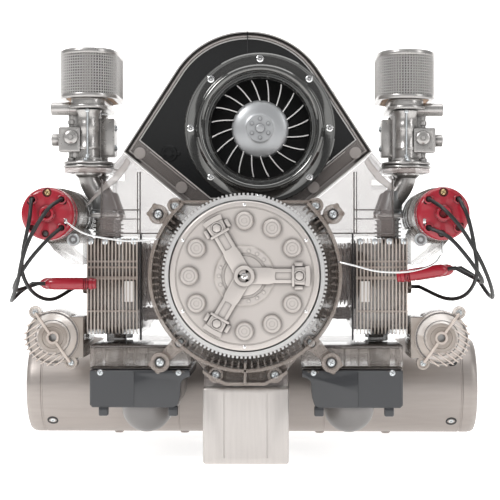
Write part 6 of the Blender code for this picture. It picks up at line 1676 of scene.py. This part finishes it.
# %% Black covers
TAB_PLACES = (0.0385, 0.0835)
for name, side in SIDES.items():
    front, back = station(-0.062), station(0.0)
    notch = arc((0.032, -0.0643), 0.006, 90, 30, 6)
    outline = [(0.0325, -0.0544), (0.032, -0.0549)] + notch
    outline += mm((37.8, -70), (39.2, -74.5), (41.5, -75.8), (88, -75.8), (89.5, -74.3), (89.5, -54.9),
        (89, -54.4))
    body = eased(plate(on_crank(sided(side, outline)), front, back), 0.0009, 3, 40)
    outline = mm((64, -54.9), (64, -75.3), (87.9, -75.3), (89, -74.2), (89, -54.9))
    step = eased(plate(on_crank(sided(side, outline)), front - 0.0003, front + 0.001), 0.0002, 1, 40)
    feet = [eased(span_block(side, 0.0895 - a, 0.095 - a, -0.0618, -0.0563, -0.0808, -0.075), 0.001, 3, 50)
        for a in (0.0105, 0.0505)]
    replacing([body, step, *feet], f"heater_cover_{name}", "black", BLACK_COVER)
    tabs = [span_block(side, u - 0.0035, u + 0.0035, -0.0621, -0.0612, -0.0561, -0.0545) for u in TAB_PLACES]
    finished([eased(tab, 0.0004, 2) for tab in tabs], f"heater_cover_{name}_tabs", CASING)
    places = [(side * u, front - 0.0001, height(-0.0558)) for u in TAB_PLACES]
    finished(placed_copies(phillips(0.0017, 0.0008), places), f"heater_cover_{name}_screws", ZINC)
print("black covers done")


# %% Silencer
DRUM = (station(0.09), 0.0321)
half = mm((0, 146.2), (24, 146.2), (25.2, 147), (27.5, 147), (29.6, 146.2), (30.6, 144.6), (31, 142.5),
    (31, 137.5), (30.6, 137.1), (30.6, 136.3), (31, 135.9), (31, 48), (30.7, 47.7), (30.7, 47.1), (31, 46.8))
drum = turned("X", DRUM, half + [(r, -x) for r, x in reversed(half)], 96)
seam = eased(block((-0.1355, DRUM[0] - 0.0022, DRUM[1] + 0.0302),
    (0.1355, DRUM[0] + 0.0022, DRUM[1] + 0.0309)), 0.0002, 1)
spun(seam, math.radians(-60), (0, *DRUM), "X")
nubs = [turned("Z", (side * out, DRUM[0]), mm((0, 0), (2.4, 0), (3, 0.6), (3, 4), (0, 4)), 24)
    for side in (-1, 1) for out in (0.045, 0.089)]


def elbow_cutters(side):
    """The room that the black cover and the heater box take out of an elbow."""
    return (span_block(side, 0.02, 0.11, -0.045, 0.0003, -0.0761, -0.05), span_block(side, 0.02, 0.11, -0.001,
        0.0503, -0.0544, -0.03))


elbows = []
for name, side in SIDES.items():
    start, end = station(-0.035), station(0.075)
    dome = [(0.015 * math.sin(a), start + 0.015 * (1 - math.cos(a)))
        for a in map(math.radians, range(0, 91, 10))]
    axis = (side * 0.0603, height(-0.0794))
    pipe = turned("Y", axis, dome + [(0.015, end), (0, end)], 64)
    elbows.append(cut(pipe, *elbow_cutters(side)))
    beads = [hoop("Y", axis, 0.0147, 0.01515, station(a), station(a + 0.0009), 64) for a in (0.0045, 0.054)]
    beads = cut(joined(*beads), *elbow_cutters(side))
    finished(beads, f"silencer_elbow_beads_{name}", ZINC)
silencer = replacing([drum, seam, *nubs], "silencer", "drum", DRUM_METAL)
replacing(elbows, "silencer", "elbows", DUCT_GREY)
cups, heads = [], []
for side in (-1, 1):
    for a in map(math.radians, (-135, -215, -45)):
        facing = (0, math.cos(a), math.sin(a))
        place = (side * 0.1304, DRUM[0] + 0.0309 * facing[1], DRUM[1] + 0.0309 * facing[2])
        cups.append(face_on(turned("Y", (0, 0), mm((1.5, 0.6), (3.8, 0.6), (3.8, 0), (3.4, -0.2), (1.8, 0),
            (1.5, 0.2)), 24), place, facing))
        heads.append(face_on(phillips(0.0016, 0.0003), place, facing))
finished(cups, "silencer_screw_cups", BLACK_TRIM)
finished(heads, "silencer_screws", ZINC)
print("silencer", len(silencer.data.polygons))


# %% [markdown]
# ## Generator, belt and duct posts
# Behind the fan sit the generator with its cooling slots and the belt in its pulleys. Each pulley gets a
# turned face with one big nut and four small ones. The posts of the duct baffles are dark beads on the clear
# sheet.

# %% Generator
GENERATOR_SLOTS = 12
g0 = station(0.0283)
gen = turned("Y", FAN, mm((3.4, 0), (19, 0), (20, 1), (20, 6), (19.6, 6.4), (19.6, 22), (20, 22.4),
    (20, 26.8), (18.5, 28.6), (16, 31), (10, 31), (9.6, 30), (3.4, 30), start=g0), 96)
slots = []
for number in range(GENERATOR_SLOTS):
    tool = block((0.019, g0 + 0.0236, -0.0016), (0.0215, g0 + 0.0262, 0.0016))
    tool.data.transform(Matrix.Translation(FAN_CENTRE)
        @ Matrix.Rotation(FULL_TURN * number / GENERATOR_SLOTS, 4, "Y"))
    slots.append(tool)
cut(gen, joined(*slots))
bolts = [hex_bolt((x, g0 + 0.0311, z), BACKWARDS, 0.0012, 0.001)
    for x, z in on_circle(FAN, 0.0128, range(45, 405, 90))]
replacing([gen, *bolts], "generator", "dressed", SILVER)
print("generator", len(gen.data.polygons))


# %% Belt and pulley hubs
dressed("v_belt", RUBBER)
back = station(0.062) + 0.008
for what, centre, radius, body in (("crank", CRANK, 0.021, "crank"), ("fan", FAN, 0.015, "fan_rotor")):
    hub = turned("Y", centre, [(radius * out, back + rise) for out, rise in ((0, -0.0004), (0.9, -0.0004),
        (0.9, 0.0004), (0.87, 0.0007), (0.8, 0.0007), (0.76, 0.0003), (0.42, 0.0003), (0.38, 0.0014),
        (0.35, 0.0016), (0, 0.0016))], 64)
    nuts = [hex_bolt((centre[0], back + 0.0015, centre[1]), BACKWARDS, radius * 0.2, 0.0024)]
    for a in (FULL_TURN * n / 4 + 0.4 for n in range(4)):
        x, z = centre[0] + radius * 0.59 * math.cos(a), centre[1] + radius * 0.59 * math.sin(a)
        nuts.append(hex_bolt((x, back + 0.0002, z), BACKWARDS, 0.0012, 0.0009))
    finished(hub, f"{what}_pulley_hub", STEEL, body)
    finished(nuts, f"{what}_pulley_nuts", ZINC, body)
print("belt and pulleys done")


# %% Duct posts
for name, side in SIDES.items():
    beads = [eased(span_block(side, out, out + 0.0009, -0.05, -0.0462, low, high), 0.0003, 1)
        for out, low, high in ((0.061, -0.038, 0.024), (0.0622, -0.02, 0.02))]
    finished(beads, f"duct_posts_{name}", BLACK_TRIM)
print("duct posts done")


# %% [markdown]
# ## Backdrop
# A pale sheet lies under the model and rises in one soft bend far behind it.

# %% Backdrop sweep
FLOOR_REACH = 3.2
BEND_FROM_Y, BEND_RADIUS = 2.2, 0.45
WALL_TOP = 2.4
WALL_FROM_Y = 1.2
sweep_line = [(-FLOOR_REACH, 0.0), (BEND_FROM_Y, 0.0)]
sweep_line += arc((BEND_FROM_Y, BEND_RADIUS), BEND_RADIUS, -90, 0, 16)[1:]
sweep_line += [(BEND_FROM_Y + BEND_RADIUS, WALL_TOP)]
drawn([(-FLOOR_REACH, y, z) for y, z in sweep_line], closed=False)
bpy.ops.mesh.extrude_region_move(TRANSFORM_OT_translate={"value": (2 * FLOOR_REACH, 0, 0)})
sweep = done()
sweep.name = "backdrop"
bpy.ops.object.shade_smooth()
paper_white = satin_finish("backdrop_paper", "warm_silver", (0.9, 0.895, 0.885), 0.85, 0.0, grain=40,
    depth=0.02)
on_wall = paper_white.depth() > WALL_FROM_Y
paper_white.drive("Emission Color", paper_white.blend(on_wall, (0.8, 0.796, 0.792), (1.0, 0.996, 0.992)))
paper_white.drive("Emission Strength", 1.0)
sweep.data.materials.append(paper_white.material)
